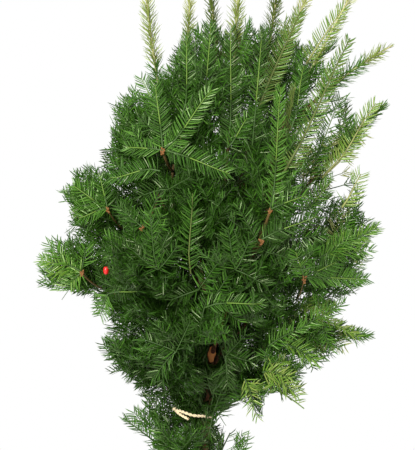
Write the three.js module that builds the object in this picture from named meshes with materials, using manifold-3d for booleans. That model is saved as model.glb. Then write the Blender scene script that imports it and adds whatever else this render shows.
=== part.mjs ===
// A young Anglo-Japanese yew: one main stem, boughs that rise from it, and masses of needle foliage, with a
// loose loop of twine.
//
// Millimetres, +Z up. The origin is the centre of the stem's flat cut at ground level, +X is the plant's
// right as it is seen from the front, and the front faces -Y. Every mass of foliage is one solid: a stem
// with side shoots that a seeded rule places, each shoot a blade whose teeth stand for its needles.
import * as THREE from "three";
import { mergeVertices } from "three/addons/utils/BufferGeometryUtils.js";
import Module from "manifold-3d";

const wasm = await Module();
wasm.setup();

const UP = new THREE.Vector3(0, 0, 1);
const GAP = 0.3; // clear space between a limb and what it carries
const GOLDEN_TURN = THREE.MathUtils.degToRad(137.5); // turn from one side shoot to the next

// Main stem, from the flat cut to where its own leader begins
const STEM_HEIGHT = 640;
const STEM_LEAN = 40; // how far its top stands to the right of its foot
const STEM_BASE_RADIUS = 12;
const STEM_TOP_RADIUS = 3.4;
const FLARE = 0.5; // extra radius at the ground, as a share
const FLARE_HEIGHT = 34;
const FLARE_LOBES = 5;
const STEM_SIDES = 12;
const STEM_STEPS = 10;

// Boughs
const BOUGH_TIP_RADIUS = 2.3;
const BOUGH_SWELL = 0.0085; // radius that a bough gains for each millimetre of its length
const BOUGH_SHARE_OF_STEM = 0.72; // its root's radius is no more than this share of the stem's there
const BOUGH_LEAVES_AT = THREE.MathUtils.degToRad(38); // from the vertical, where it leaves the stem
const BOUGH_SIDES = 5;
const BOUGH_STEPS = 4;

// Stub that pruning left on the stem: the way it leans, and the direction that its slanting cut faces
const STUB = {
  height: 306, radius: 6.5, length: 42, sides: 8,
  way: [0.12, -0.36, 0.92], cut: [0, -1, 0.1],
};

// Shoots and their needles
const TOOTH_PITCH = 52; // each tooth stands for the needles of this length of shoot
const RIB_HALF_WIDTH = 1.7;
const VALLEY = 0.4; // depth that is left between two teeth, as a share of their reach
const TOOTH_TRIES = [1, 0.8, 0.6, 0.4]; // shares of its full reach that a tooth tries until it has room
const SHORTEST_TOOTH = 0.2; // the share that it keeps where none of them has
const BLADE_THICKNESS = 1.6;
const BARE_FOOT = 18; // of each side shoot, before its first tooth
const STEM_OVERLAP = 5; // how far a mass's stem runs into its own blade
const SHORTEST_SHOOT = 46;
const CORE_SIDES = 5;
const SPACE_MARGIN = 1.6; // how far a blade stays inside its own mass's space
const FITTED_AT = [0.35, 0.6, 0.85, 1]; // the shares of a shoot that are tested for room

// Twine tie: a loop drawn against the stem's right side, which drops to the right
const TIE = { height: 250, radius: 31, drop: 7, thickness: 2.1, tail: 34 };

// Outline of the crown: at each height, how far it reaches to the left, to the right, and to front and back
const CROWN = [
  { height: 110, left: 62, right: 50, depth: 84 },
  { height: 200, left: 86, right: 68, depth: 112 },
  { height: 240, left: 126, right: 100, depth: 132 },
  { height: 266, left: 100, right: 160, depth: 150 },
  { height: 300, left: 104, right: 172, depth: 184 },
  { height: 328, left: 150, right: 196, depth: 200 },
  { height: 352, left: 152, right: 232, depth: 206 },
  { height: 374, left: 162, right: 282, depth: 216 },
  { height: 400, left: 168, right: 214, depth: 226 },
  { height: 436, left: 172, right: 236, depth: 230 },
  { height: 454, left: 256, right: 268, depth: 235 },
  { height: 490, left: 266, right: 284, depth: 238 },
  { height: 530, left: 230, right: 272, depth: 240 },
  { height: 550, left: 222, right: 296, depth: 240 },
  { height: 600, left: 232, right: 258, depth: 232 },
  { height: 620, left: 220, right: 272, depth: 226 },
  { height: 652, left: 180, right: 240, depth: 220 },
  { height: 690, left: 152, right: 266, depth: 212 },
  { height: 745, left: 132, right: 298, depth: 186 },
  { height: 830, left: 96, right: 302, depth: 150 },
  { height: 1000, left: 92, right: 270, depth: 110 },
];

// The crown's shoulder, from left to right: only the leaders' own stems rise above it
const SHOULDER = [
  { x: -320, height: 760 },
  { x: -130, height: 760 },
  { x: -62, height: 786 },
  { x: -42, height: 802 },
  { x: -34, height: 858 },
  { x: 130, height: 866 },
  { x: 170, height: 836 },
  { x: 214, height: 838 },
  { x: 240, height: 722 },
  { x: 264, height: 748 },
  { x: 320, height: 760 },
];

// Boxes without shoots, open towards the front from back on: before the twine, the stub and the berry, and
// the gap at the right between the lowest shoots and the crown
const CLEARINGS = [
  { left: -46, right: 12, low: 239, high: 264, back: -22 },
  { left: 8, right: 30, low: 326, high: 364, back: -8 },
  { left: -164, right: -145, low: 466, high: 490, back: -60 },
  { left: 28, right: 78, low: 226, high: 252, back: 400 },
];

// How the shoots stand in each kind of mass: how many there are, where on the mass's stem they start and
// end, how long the longest is, the angles to the stem of the first and the last of them, and how far they
// lift. A tooth of a side shoot stands for its needles and small twigs, a tip of the stem's own blade for
// needles, and blade is where that one starts. The shoots stand out of a dense core of twigs of this radius,
// which runs along this part of the stem
const KINDS = {
  spray: {
    shoots: 8, from: 0.05, to: 0.84, longest: 175, wide: 68, narrow: 42, lift: 0.24,
    tooth: 70, tip: 60, blade: 0.36, core: 50, dense: [0.04, 0.76],
  },
  leader: {
    shoots: 6, from: 0.06, to: 0.6, longest: 160, wide: 58, narrow: 36, lift: 0.2,
    tooth: 54, tip: 26, blade: 0.46, core: 0, dense: [0, 0],
  },
  foot: {
    shoots: 5, from: 0.3, to: 0.86, longest: 100, wide: 70, narrow: 44, lift: 0.06,
    tooth: 36, tip: 30, blade: 0.6, core: 34, dense: [0.36, 0.94],
  },
};
// How much chance there is in a shoot: in its place, as a share of the step to the next, in its turn and its
// roll in radians, in its angle to the stem in degrees, and in its length as a share
const WOBBLE = { along: 0.6, turn: 0.7, spread: 12, length: 0.28, roll: 0.5 };
const LAST_SHOOT = 0.62; // length of a shoot at the mass's tip, as a share of one at its foot
const SHORTENED = 0.88; // what is left of a shoot each time that it doesn't fit
const TOOTH_SLANT = THREE.MathUtils.degToRad(50); // from the shoot
const LEADER_SLANT = THREE.MathUtils.degToRad(36); // on a leader's own blade
const FACING_ROLL = 0.75; // how far side shoots are rolled from facing up and out, each way in turn

// A mass's bough leaves the stem at the height leaves. base and tip are each a reach from the plant's axis
// and a height, azimuth is the base's, in degrees from +X and anticlockwise seen from above, and turn is how
// far past it the tip's azimuth lies. A foot has no bough: it stands on the main stem itself
const spray = (name, leaves, azimuth, base, tip, turn = 0) => {
  return { name, kind: "spray", leaves, azimuth, base, tip, turn };
};
const leader = (name, leaves, azimuth, base, tip, turn = 0) => {
  return { name, kind: "leader", leaves, azimuth, base, tip, turn };
};
const foot = (name, leaves, azimuth, tip) => {
  return { name, kind: "foot", leaves, azimuth, base: null, tip, turn: 0 };
};
const MASSES = [
  foot("foot_left", 146, 174, [124, 240]),
  foot("foot_right", 126, 14, [50, 216]),
  foot("foot_front", 110, -118, [84, 218]),
  spray("right_foot", 262, -24, [56, 304], [172, 262], 6),
  spray("right_lower", 285, 6, [104, 356], [274, 372], -4),
  spray("left_lower", 264, 199, [50, 314], [145, 318], -4),
  spray("front_low", 280, -106, [46, 318], [158, 386], 8),
  spray("back_low", 272, 98, [48, 314], [158, 380], -10),
  spray("right_low", 318, -17, [92, 404], [268, 452], 3),
  spray("right_mid", 350, 6, [100, 446], [288, 548]),
  spray("left_low", 300, 189, [70, 404], [252, 476]),
  spray("front_mid_right", 330, -56, [68, 404], [206, 520]),
  spray("front_mid_left", 314, -124, [62, 390], [196, 506], 2),
  spray("back_mid_left", 322, 128, [62, 398], [200, 520]),
  spray("back_mid_right", 340, 54, [70, 412], [216, 536]),
  spray("left_mid", 372, 179, [64, 494], [216, 600]),
  spray("front_centre", 380, -88, [56, 486], [154, 640], -6),
  spray("back_upper_left", 404, 122, [56, 520], [164, 716]),
  spray("back_upper_right", 414, 51, [72, 528], [200, 722]),
  spray("right_upper", 396, -3, [112, 540], [294, 742]),
  spray("left_upper", 434, 187, [58, 580], [136, 742], 2),
  spray("front_fan", 412, -121, [84, 616], [130, 776], 40),
  leader("front_right", 366, -44, [112, 500], [190, 760], 4),
  leader("right_top", 424, -21, [150, 700], [307, 830], 9),
  leader("left_leader", 464, 211, [44, 640], [96, 940], -7),
  leader("back_leader", 470, 103, [54, 650], [76, 926]),
  leader("front_leader", 440, -58, [78, 636], [100, 940], 6),
  leader("mid_leader", 486, 5, [80, 664], [130, 976], -3),
  leader("right_leader", 462, 24, [78, 652], [194, 950], -7),
  leader("slant_leader", 450, -17, [112, 656], [254, 932], 6),
  leader("top_leader", STEM_HEIGHT, 12, null, [15, 964]),
];

// The berry on the left low mass: where on the mass's stem its twig starts, the twig, and the berry's size
const BERRY = { mass: "left_low", along: 0.47, twig: [0, -50, 40], twigRadius: 1.2, radius: 4.6, height: 11 };

// Numbers from 0 to 1, the same on every run
function seeded(seed) {
  let state = seed;
  const next = () => (state = (state * 16807) % 2147483647) / 2147483647;
  for (let i = 0; i < 4; i++) next();
  return next;
}

function around(azimuth, [reach, height]) {
  const angle = THREE.MathUtils.degToRad(azimuth);
  return new THREE.Vector3(reach * Math.cos(angle), reach * Math.sin(angle), height);
}

// The part of a vector that stands square to a direction, as a unit vector
function squareTo(vector, direction) {
  return vector.clone().addScaledVector(direction, -vector.dot(direction)).normalize();
}

function lerp(a, b, share) {
  return a + (b - a) * share;
}

// Moves a geometry drawn along +Y onto a curve, with its +Z towards facing
function bend(geometry, curve, length, facing) {
  const place = geometry.getAttribute("position");
  for (let i = 0; i < place.count; i++) {
    const [x, y, z] = [place.getX(i), place.getY(i), place.getZ(i)];
    const share = THREE.MathUtils.clamp(y / length, 0, 1);
    const tangent = curve.getTangentAt(share);
    const normal = squareTo(facing, tangent);
    const side = tangent.clone().cross(normal);
    const point = curve.getPointAt(share).addScaledVector(tangent, y - share * length);
    point.addScaledVector(side, x).addScaledVector(normal, z);
    place.setXYZ(i, point.x, point.y, point.z);
  }
  return geometry;
}

// A round tapering limb along a curve, or along its first part. radiusAt takes the share of the limb's
// length and the angle round it
function limb(curve, sides, steps, radiusAt, part = 1) {
  const length = curve.getLength() * part;
  const tube = new THREE.CylinderGeometry(1, 1, length, sides, steps).translate(0, length / 2, 0);
  const place = tube.getAttribute("position");
  for (let i = 0; i < place.count; i++) {
    const [x, y, z] = [place.getX(i), place.getY(i), place.getZ(i)];
    const radius = radiusAt(y / length, Math.atan2(z, x));
    place.setXYZ(i, x * radius, y, z * radius);
  }
  return solid(bend(tube, curve, curve.getLength(), new THREE.Vector3(0, 1, 0)));
}

function solid(geometry) {
  const bare = geometry.clone();
  bare.deleteAttribute("normal");
  bare.deleteAttribute("uv");
  const merged = mergeVertices(bare, 1e-3);
  return new wasm.Manifold(
    new wasm.Mesh({
      numProp: 3,
      vertProperties: new Float32Array(merged.getAttribute("position").array),
      triVerts: new Uint32Array(merged.index.array),
    }),
  );
}

function geometryOf(made) {
  const { numProp, vertProperties, triVerts } = made.getMesh();
  const corners = [];
  for (let i = 0; i < vertProperties.length; i += numProp) corners.push(...vertProperties.subarray(i, i + 3));
  const geometry = new THREE.BufferGeometry();
  geometry.setAttribute("position", new THREE.Float32BufferAttribute(corners, 3));
  geometry.setIndex(new THREE.BufferAttribute(triVerts, 1));
  return geometry;
}

function biggestPiece(made) {
  return made.decompose().reduce((best, piece) => (piece.volume() > best.volume() ? piece : best));
}

// The largest piece of what a cut or a join leaves, without loose scraps and sealed hollows. It is welded
// once more, since corners that all but touch can close off a hollow
function largest(made) {
  return biggestPiece(solid(geometryOf(biggestPiece(made))));
}

function meshOf(made, name, material) {
  const geometry = geometryOf(made);
  geometry.computeVertexNormals();
  const mesh = new THREE.Mesh(geometry, material);
  mesh.name = name;
  return mesh;
}

const stemCurve = new THREE.CubicBezierCurve3(
  new THREE.Vector3(0, 0, 0),
  new THREE.Vector3(0, 0, STEM_HEIGHT * 0.36),
  new THREE.Vector3(STEM_LEAN * 0.65, 2, STEM_HEIGHT * 0.62),
  new THREE.Vector3(STEM_LEAN, 5, STEM_HEIGHT),
);

// The share of the stem's length at a height, which the stem's gentle lean lets it be read from
function stemShareAt(height) {
  let [low, high] = [0, 1];
  for (let i = 0; i < 30; i++) {
    const middle = (low + high) / 2;
    if (stemCurve.getPointAt(middle).z < height) low = middle;
    else high = middle;
  }
  return low;
}

function stemRadius(share, angle = 0) {
  const height = share * STEM_HEIGHT;
  const flare = FLARE * Math.exp(-height / FLARE_HEIGHT);
  const lobes = 1 + 0.35 * flare * Math.cos(FLARE_LOBES * angle);
  return lerp(STEM_BASE_RADIUS, STEM_TOP_RADIUS, Math.pow(share, 0.8)) * (1 + flare) * lobes;
}

// The main stem, thicker all round by grow
function mainStem(grow = 0) {
  const round = limb(stemCurve, STEM_SIDES, STEM_STEPS, (share, angle) => stemRadius(share, angle) + grow);
  return round.add(stub(grow));
}

// A pruned branch's stub, which leans up and towards the front, with its slanting cut
function stub(grow) {
  const foot = stemCurve.getPointAt(stemShareAt(STUB.height));
  const way = new THREE.Vector3(...STUB.way).normalize();
  const cut = new THREE.Vector3(...STUB.cut).normalize();
  const end = foot.clone().addScaledVector(way, STUB.length);
  const line = new THREE.LineCurve3(foot, end.clone().addScaledVector(way, STUB.length));
  const whole = limb(line, STUB.sides, 1, () => STUB.radius + grow);
  return whole.trimByPlane(cut.clone().negate().toArray(), -cut.dot(end) - grow);
}

// A mass's places: where its bough or stem starts, its base and its tip
function placesOf(mass) {
  const tip = around(mass.azimuth + mass.turn, mass.tip);
  const share = stemShareAt(mass.leaves);
  const foot = stemCurve.getPointAt(share);
  const base = mass.base ? around(mass.azimuth, mass.base) : foot.clone();
  return { foot, base, tip };
}

function boughCurve({ foot, base, tip }) {
  const reach = base.distanceTo(foot);
  const out = base.clone().sub(foot).setZ(0).normalize();
  const away = out.multiplyScalar(Math.sin(BOUGH_LEAVES_AT)).addScaledVector(UP, Math.cos(BOUGH_LEAVES_AT));
  const onwards = axisStart(foot, base, tip);
  return new THREE.CubicBezierCurve3(
    foot,
    foot.clone().addScaledVector(away, reach * 0.36),
    base.clone().addScaledVector(onwards, -reach * 0.3),
    base,
  );
}

// The direction in which a mass's stem goes on from its bough
function axisStart(foot, base, tip) {
  const before = base.clone().sub(foot).normalize();
  const after = tip.clone().sub(base).normalize();
  return before.add(after).normalize();
}

// A mass's own stem. It starts a gap beyond the bough's tip, or inside the main stem, which is cut away
function axisCurve({ foot, base, tip }, mass) {
  const reach = tip.distanceTo(base);
  const way = mass.base ? axisStart(foot, base, tip) : tip.clone().sub(base).normalize();
  return new THREE.QuadraticBezierCurve3(
    base.clone().addScaledVector(way, mass.leaves === STEM_HEIGHT || mass.base ? GAP : 0),
    base.clone().addScaledVector(way, reach * 0.42),
    tip,
  );
}

// The two knots of a profile that a value lies between, and how far along from one to the other it is
function between(knots, key, value) {
  const next = knots.findIndex((knot) => knot[key] > value);
  if (next < 1) return null;
  const [from, to] = [knots[next - 1], knots[next]];
  return { from, to, share: (value - from[key]) / (to[key] - from[key]) };
}

// Whether the crown's outline holds a point, outside every clearing
function insideCrown({ x, y, z }) {
  const found = between(CROWN, "height", z);
  if (!found) return false;
  const { from, to, share } = found;
  const across = x < 0 ? lerp(from.left, to.left, share) : lerp(from.right, to.right, share);
  if (Math.hypot(x / across, y / lerp(from.depth, to.depth, share)) > 1) return false;
  const inBox = (box) => x > box.left && x < box.right && z > box.low && z < box.high && y < box.back;
  return !CLEARINGS.some(inBox);
}

function belowShoulder({ x, z }) {
  const { from, to, share } = between(SHOULDER, "x", x);
  return z < lerp(from.height, to.height, share);
}

// How far inside a mass's space a point lies. The space is all that is nearer its own stem than another's
function insideSpace(point, own, lines) {
  const nearestOn = new THREE.Vector3();
  const distances = lines.map((line) => line.closestPointToPoint(point, true, nearestOn).distanceTo(point));
  const nearest = Math.min(...distances.filter((_, i) => i !== own));
  return (nearest - distances[own]) / 2;
}

// The side shoots of one mass. Each starts a golden turn round from the last, and is shortened until it
// fits
function shootsOf(mass, index, axis, fits) {
  const kind = KINDS[mass.kind];
  const random = seeded(4001 + 97 * index);
  const shoots = [];
  for (let k = 0; k < kind.shoots; k++) {
    const along = lerp(kind.from, kind.to, (k + WOBBLE.along * random()) / kind.shoots);
    const start = axis.getPointAt(along);
    const heading = axis.getTangentAt(along);
    const upright = Math.abs(heading.z) < 0.9 ? UP : new THREE.Vector3(0, 1, 0);
    const turn = k * GOLDEN_TURN + index + WOBBLE.turn * (random() - 0.5);
    const way = heading.clone().cross(upright).normalize().multiplyScalar(Math.cos(turn));
    way.addScaledVector(squareTo(upright, heading), Math.sin(turn));
    const degrees = lerp(kind.wide, kind.narrow, along) + WOBBLE.spread * (random() - 0.5);
    const spread = THREE.MathUtils.degToRad(degrees);
    way.multiplyScalar(Math.sin(spread)).addScaledVector(heading, Math.cos(spread));
    way.addScaledVector(UP, kind.lift).normalize();
    const longest = kind.longest * lerp(1, LAST_SHOOT, along) * (1 + WOBBLE.length * (random() - 0.5));
    const roll = (k % 2 ? 1 : -1) * FACING_ROLL + WOBBLE.roll * (random() - 0.5);
    for (let length = longest; length >= SHORTEST_SHOOT; length *= SHORTENED) {
      const curve = shootCurve(start, way, length);
      if (!fits(curve)) continue;
      shoots.push({ curve, facing: facingOf(start, way, roll) });
      break;
    }
  }
  return shoots;
}

// A side shoot rises a little towards its tip
function shootCurve(start, way, length) {
  const middle = start.clone().addScaledVector(way, length * 0.5);
  const end = start.clone().addScaledVector(way, length * 0.97).addScaledVector(UP, length * 0.1);
  return new THREE.QuadraticBezierCurve3(start, middle, end);
}

// Needles lie in a plane that faces outwards and up, rolled a little about the shoot
function facingOf(start, way, roll) {
  const outwards = new THREE.Vector3(start.x, start.y, 0).normalize().multiplyScalar(0.9).add(UP);
  return squareTo(outwards, way).applyAxisAngle(way, roll);
}

// A mass's own blade faces up and out too, rolled each way in turn. An upright one faces the front, by turns
// a little from either side
function ownFacing(mass, index, axis) {
  const tangent = axis.getTangentAt(0.8);
  const hand = index % 2 ? 1 : -1;
  if (mass.kind !== "leader") return facingOf(axis.getPointAt(1), tangent, hand * FACING_ROLL);
  return squareTo(new THREE.Vector3(hand * 0.8, -1, 0), tangent);
}

// The flat outline of a shoot: a rib, from foot on, with slanting teeth, each as long as room lets it be
function bladeOutline(length, { foot, bare, tooth, slant }, room) {
  const toothed = length - bare - 0.25 * Math.min(tooth, length - bare);
  const teeth = Math.max(1, Math.round(toothed / TOOTH_PITCH));
  const pitch = toothed / teeth;
  const edge = (side) => {
    const points = [[side * RIB_HALF_WIDTH, bare]];
    for (let i = 0; i < teeth; i++) {
      const root = bare + (i + (side > 0 ? 0 : 0.4)) * pitch;
      const full = Math.min(tooth, 1.15 * pitch) * lerp(1, 0.6, Math.pow(root / length, 3));
      const out = (reach) => RIB_HALF_WIDTH + reach * Math.sin(slant);
      const at = (reach) => [side * out(reach), root + reach * Math.cos(slant)];
      const reach = TOOTH_TRIES.map((share) => share * full).find((tried) => room(...at(tried)));
      const kept = reach ?? SHORTEST_TOOTH * full;
      points.push(at(kept));
      points.push([side * (i === teeth - 1 ? RIB_HALF_WIDTH : out(VALLEY * kept)), root + pitch * 0.8]);
    }
    return points;
  };
  const footWidth = RIB_HALF_WIDTH * 0.8;
  const outline = [[footWidth, foot], ...edge(1), [0, length], ...edge(-1).reverse(), [-footWidth, foot]];
  return new THREE.Shape(outline.map(([x, y]) => new THREE.Vector2(x, y)));
}

// One toothed blade along a shoot, flat in the plane that faces facing
function blade(curve, sizes, facing, room) {
  const length = curve.getLength();
  const at = (x, y) => {
    const share = Math.min(y / length, 1);
    const tangent = curve.getTangentAt(share);
    const side = tangent.clone().cross(squareTo(facing, tangent));
    return curve.getPointAt(share).addScaledVector(tangent, y - share * length).addScaledVector(side, x);
  };
  const shape = bladeOutline(length, sizes, (x, y) => room(at(x, y)));
  const plate = new THREE.ExtrudeGeometry(shape, { depth: BLADE_THICKNESS, bevelEnabled: false });
  return solid(bend(plate.translate(0, 0, -BLADE_THICKNESS / 2), curve, length, facing));
}

// The dense inner twigs of a mass as one spindle round its stem, as thick as its space allows
function coreOf(axis, { core: radius, dense: [from, to] }, room, limbs) {
  const [start, middlePoint, end] = [from, (from + to) / 2, to].map((share) => axis.getPointAt(share));
  const middle = new THREE.QuadraticBezierCurve3(start, middlePoint, end);
  const turns = Array.from({ length: 6 }, (_, k) => (k * Math.PI) / 3);
  for (let width = radius; width >= radius / 3; width *= 0.86) {
    const clear = [0.2, 0.5, 0.8].every((share) =>
      turns.every((turn) => {
        const tangent = middle.getTangentAt(share);
        const out = squareTo(new THREE.Vector3(Math.cos(turn), Math.sin(turn), 0.3), tangent);
        return room(middle.getPointAt(share).addScaledVector(out, width));
      }),
    );
    const made = limb(middle, CORE_SIDES, 3, (share) => width * (0.22 + 0.78 * Math.sin(Math.PI * share)));
    if (clear && made.intersect(limbs).isEmpty()) return made;
  }
  return null;
}

// The berry, upright at the end of its own small twig
function berryOn(start) {
  const place = start.clone().add(new THREE.Vector3(...BERRY.twig));
  const twig = limb(new THREE.LineCurve3(start, place), 3, 1, () => BERRY.twigRadius);
  const outline = [[0, -0.5], [0.8, -0.3], [1, 0.1], [0.6, 0.5], [0, 0.5]];
  const cup = new THREE.LatheGeometry(
    outline.map(([r, z]) => new THREE.Vector2(r * BERRY.radius, z * BERRY.height)),
    6,
  );
  return [twig, solid(cup.rotateX(Math.PI / 2).translate(place.x, place.y, place.z))];
}

// The tie: a closed loop of twine, its knot at the left, and a tail that hangs from the knot
function twineTie() {
  const { height, radius, drop, thickness, tail } = TIE;
  const beside = stemCurve.getPointAt(stemShareAt(height - drop));
  const x = beside.x + stemRadius(stemShareAt(height - drop)) + GAP + thickness - radius;
  const loop = new THREE.TorusGeometry(radius, thickness, 5, 18);
  const place = loop.getAttribute("position");
  for (let i = 0; i < place.count; i++) place.setZ(i, place.getZ(i) - (drop * place.getX(i)) / radius);
  loop.translate(x, 0, height);
  const knot = new THREE.Vector3(x - radius * 0.9, -radius * 0.44, height + drop * 0.9);
  const bow = new THREE.Vector3(knot.x + tail * 0.2, knot.y - 12, knot.z + 2);
  const end = new THREE.Vector3(knot.x + tail * 0.8, knot.y - 18, knot.z - tail * 0.45);
  const hanging = limb(new THREE.QuadraticBezierCurve3(knot, bow, end), 4, 2, () => thickness * 0.9);
  const lump = new THREE.IcosahedronGeometry(thickness * 1.9, 0).translate(knot.x, knot.y, knot.z);
  return solid(loop).add(solid(lump)).add(hanging);
}

function finish(name, color, roughness) {
  return new THREE.MeshStandardMaterial({ name, color, roughness, metalness: 0 });
}

const bark = finish("bark", 0x6e4b34, 0.9);
const needleGreens = {
  spray: finish("needles", 0x2f5a1c, 0.5),
  leader: finish("new_needles", 0x567a2c, 0.5),
  foot: finish("old_needles", 0x274a1a, 0.55),
};
const twine = finish("twine", 0xd9c08a, 0.85);

const plant = new THREE.Group();
const stemWithRoom = mainStem(GAP);
const stem = mainStem();
const tie = twineTie();
plant.add(meshOf(stem, "main_stem", bark));
plant.add(meshOf(tie, "twine_tie", twine));

const places = MASSES.map(placesOf);
const lines = places.map(({ base, tip }) => new THREE.Line3(base, tip));

const boughs = MASSES.map((mass, i) => {
  if (!mass.base) return null;
  const curve = boughCurve(places[i]);
  const full = BOUGH_TIP_RADIUS + BOUGH_SWELL * (curve.getLength() + lines[i].distance());
  const root = Math.min(full, BOUGH_SHARE_OF_STEM * stemRadius(stemShareAt(mass.leaves)));
  const radiusAt = (share) => lerp(root, BOUGH_TIP_RADIUS, share);
  return largest(limb(curve, BOUGH_SIDES, BOUGH_STEPS, radiusAt).subtract(stemWithRoom));
});
boughs.forEach((bough, i) => {
  if (bough) plant.add(meshOf(bough, "bough_" + MASSES[i].name, bark));
});
const limbs = wasm.Manifold.union([stem, tie, ...boughs.filter(Boolean)]);

MASSES.forEach((mass, i) => {
  const kind = KINDS[mass.kind];
  const axis = axisCurve(places[i], mass);
  const room = (point) => insideCrown(point) && insideSpace(point, i, lines) > SPACE_MARGIN;
  const shootRoom = (point) => room(point) && belowShoulder(point);
  const fits = (curve) => FITTED_AT.every((share) => shootRoom(curve.getPointAt(share)));
  const facing = ownFacing(mass, i, axis);
  const slant = mass.kind === "leader" ? LEADER_SLANT : TOOTH_SLANT;
  const bladeStart = axis.getLength() * kind.blade;
  const tipSizes = { foot: bladeStart - STEM_OVERLAP, bare: bladeStart, tooth: kind.tip, slant };
  const stemPart = kind.blade + STEM_OVERLAP / axis.getLength();
  const pieces = [
    limb(axis, 3, 2, (share) => lerp(BOUGH_TIP_RADIUS, BLADE_THICKNESS, share), stemPart),
    blade(axis, tipSizes, facing, room),
    kind.core && coreOf(axis, kind, room, limbs),
  ];
  const sideSizes = { foot: 0, bare: BARE_FOOT, tooth: kind.tooth, slant: TOOTH_SLANT };
  for (const shoot of shootsOf(mass, i, axis, fits)) {
    const made = blade(shoot.curve, sideSizes, shoot.facing, shootRoom);
    if (made.intersect(limbs).isEmpty()) pieces.push(made);
  }
  if (BERRY.mass === mass.name) pieces.push(...berryOn(axis.getPointAt(BERRY.along)));
  const whole = wasm.Manifold.union(pieces.filter(Boolean));
  const kept = largest(whole.subtract(stemWithRoom));
  plant.add(meshOf(kept, "foliage_" + mass.name, needleGreens[mass.kind]));
});

export default plant;
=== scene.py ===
"""A young Anglo-Japanese yew with a loose twine tie, grown from limb to needle around its fixed frame.

The frame gives each limb and each mass of foliage its place. Here the limbs get their bark, and each mass
grows again by the same seeded rule, carried on to finer twigs and to single needles.

The growing is worked out in millimetres, as the frame's own sizes are, and the meshes are in metres. +Z is
up, +X is the plant's right as it is seen from the front, and the front faces -Y.
"""

import logging
import math
from dataclasses import dataclass, field
from enum import Enum
from typing import Any, Callable, Sequence

import bpy
import numpy as np
from numpy.typing import ArrayLike, NDArray
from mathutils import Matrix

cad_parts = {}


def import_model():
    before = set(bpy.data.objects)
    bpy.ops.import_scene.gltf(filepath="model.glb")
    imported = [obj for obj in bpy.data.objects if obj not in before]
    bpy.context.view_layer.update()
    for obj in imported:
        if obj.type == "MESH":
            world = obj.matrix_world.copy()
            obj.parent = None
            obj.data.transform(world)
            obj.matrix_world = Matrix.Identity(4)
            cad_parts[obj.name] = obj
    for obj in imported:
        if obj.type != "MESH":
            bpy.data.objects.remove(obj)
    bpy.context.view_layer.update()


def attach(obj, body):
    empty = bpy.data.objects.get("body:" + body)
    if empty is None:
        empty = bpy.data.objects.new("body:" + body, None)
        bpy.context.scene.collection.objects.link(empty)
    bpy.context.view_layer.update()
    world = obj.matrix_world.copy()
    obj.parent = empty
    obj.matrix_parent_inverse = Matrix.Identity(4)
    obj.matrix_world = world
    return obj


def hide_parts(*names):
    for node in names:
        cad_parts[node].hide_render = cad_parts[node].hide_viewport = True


Array = NDArray[np.float64]

MM = 0.001
UP = np.array([0.0, 0.0, 1.0])
BACK = np.array([0.0, 1.0, 0.0])
RIGHT = np.array([1.0, 0.0, 0.0])
LEVEL = np.array([1, 1, 0])
STEEP = 0.9  # a unit direction runs along an axis where its part on that axis is over this
GOLDEN_TURN = math.radians(137.5)
CURVE_STEPS = 200
CURVE_NUDGE = 1e-3  # how far to each side of a point a curve's direction is measured
TINY = 1e-9
THROUGH = 400.0  # a clearing's back where it goes right through the plant, in millimetres
BODY = "root"

log = logging.getLogger("yew")


# Vectors and curves


def unit(vectors: ArrayLike) -> Array:
    """Scale vectors to a length of one.

    Args:
        vectors: One vector, or a row of them.

    Returns:
        The same directions, each of length one.
    """
    rows = np.asarray(vectors, dtype=float)
    return rows / np.maximum(np.linalg.norm(rows, axis=-1, keepdims=True), TINY)


def square_to(vectors: ArrayLike, direction: ArrayLike) -> Array:
    """Take the part of each vector that stands square to a direction.

    Args:
        vectors: One vector, or a row of them.
        direction: One unit vector, or one for each row.

    Returns:
        Unit vectors square to the direction.
    """
    rows, way = np.asarray(vectors, dtype=float), np.asarray(direction, dtype=float)
    return unit(rows - np.sum(rows * way, axis=-1, keepdims=True) * way)


def turned(vectors: ArrayLike, axis: ArrayLike, angle: ArrayLike) -> Array:
    """Turn vectors about an axis.

    Args:
        vectors: One vector, or a row of them.
        axis: The unit axis, or one for each row.
        angle: The angle in radians, or one for each row.

    Returns:
        The turned vectors.
    """
    rows, way = np.asarray(vectors, dtype=float), np.asarray(axis, dtype=float)
    amount = np.asarray(angle, dtype=float)[..., None]
    along = np.sum(rows * way, axis=-1, keepdims=True) * way
    return rows * np.cos(amount) + np.cross(way, rows) * np.sin(amount) + along * (1 - np.cos(amount))


def mix(a: float, b: float, share: float) -> float:
    """Give the value a share of the way from a to b."""
    return a + (b - a) * share


def number_of(choice: Enum) -> int:
    """Give a choice's number, which is also the number of its material in a mesh."""
    return list(type(choice)).index(choice)


class Seeded:
    """Numbers from 0 to 1, the same on every run and the same as the frame's own."""

    FACTOR = 16807
    MODULUS = 2147483647
    SKIPPED = 4

    def __init__(self, seed: int) -> None:
        """Start the row of numbers.

        Args:
            seed: Where the row starts.
        """
        self.state = seed
        for _ in range(self.SKIPPED):
            self()

    def __call__(self) -> float:
        """Give the next number."""
        self.state = (self.state * self.FACTOR) % self.MODULUS
        return self.state / self.MODULUS

    def swing(self, width: float) -> float:
        """Draw a value that lies up to half a width to either side of zero."""
        return width * (self() - 0.5)


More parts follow.
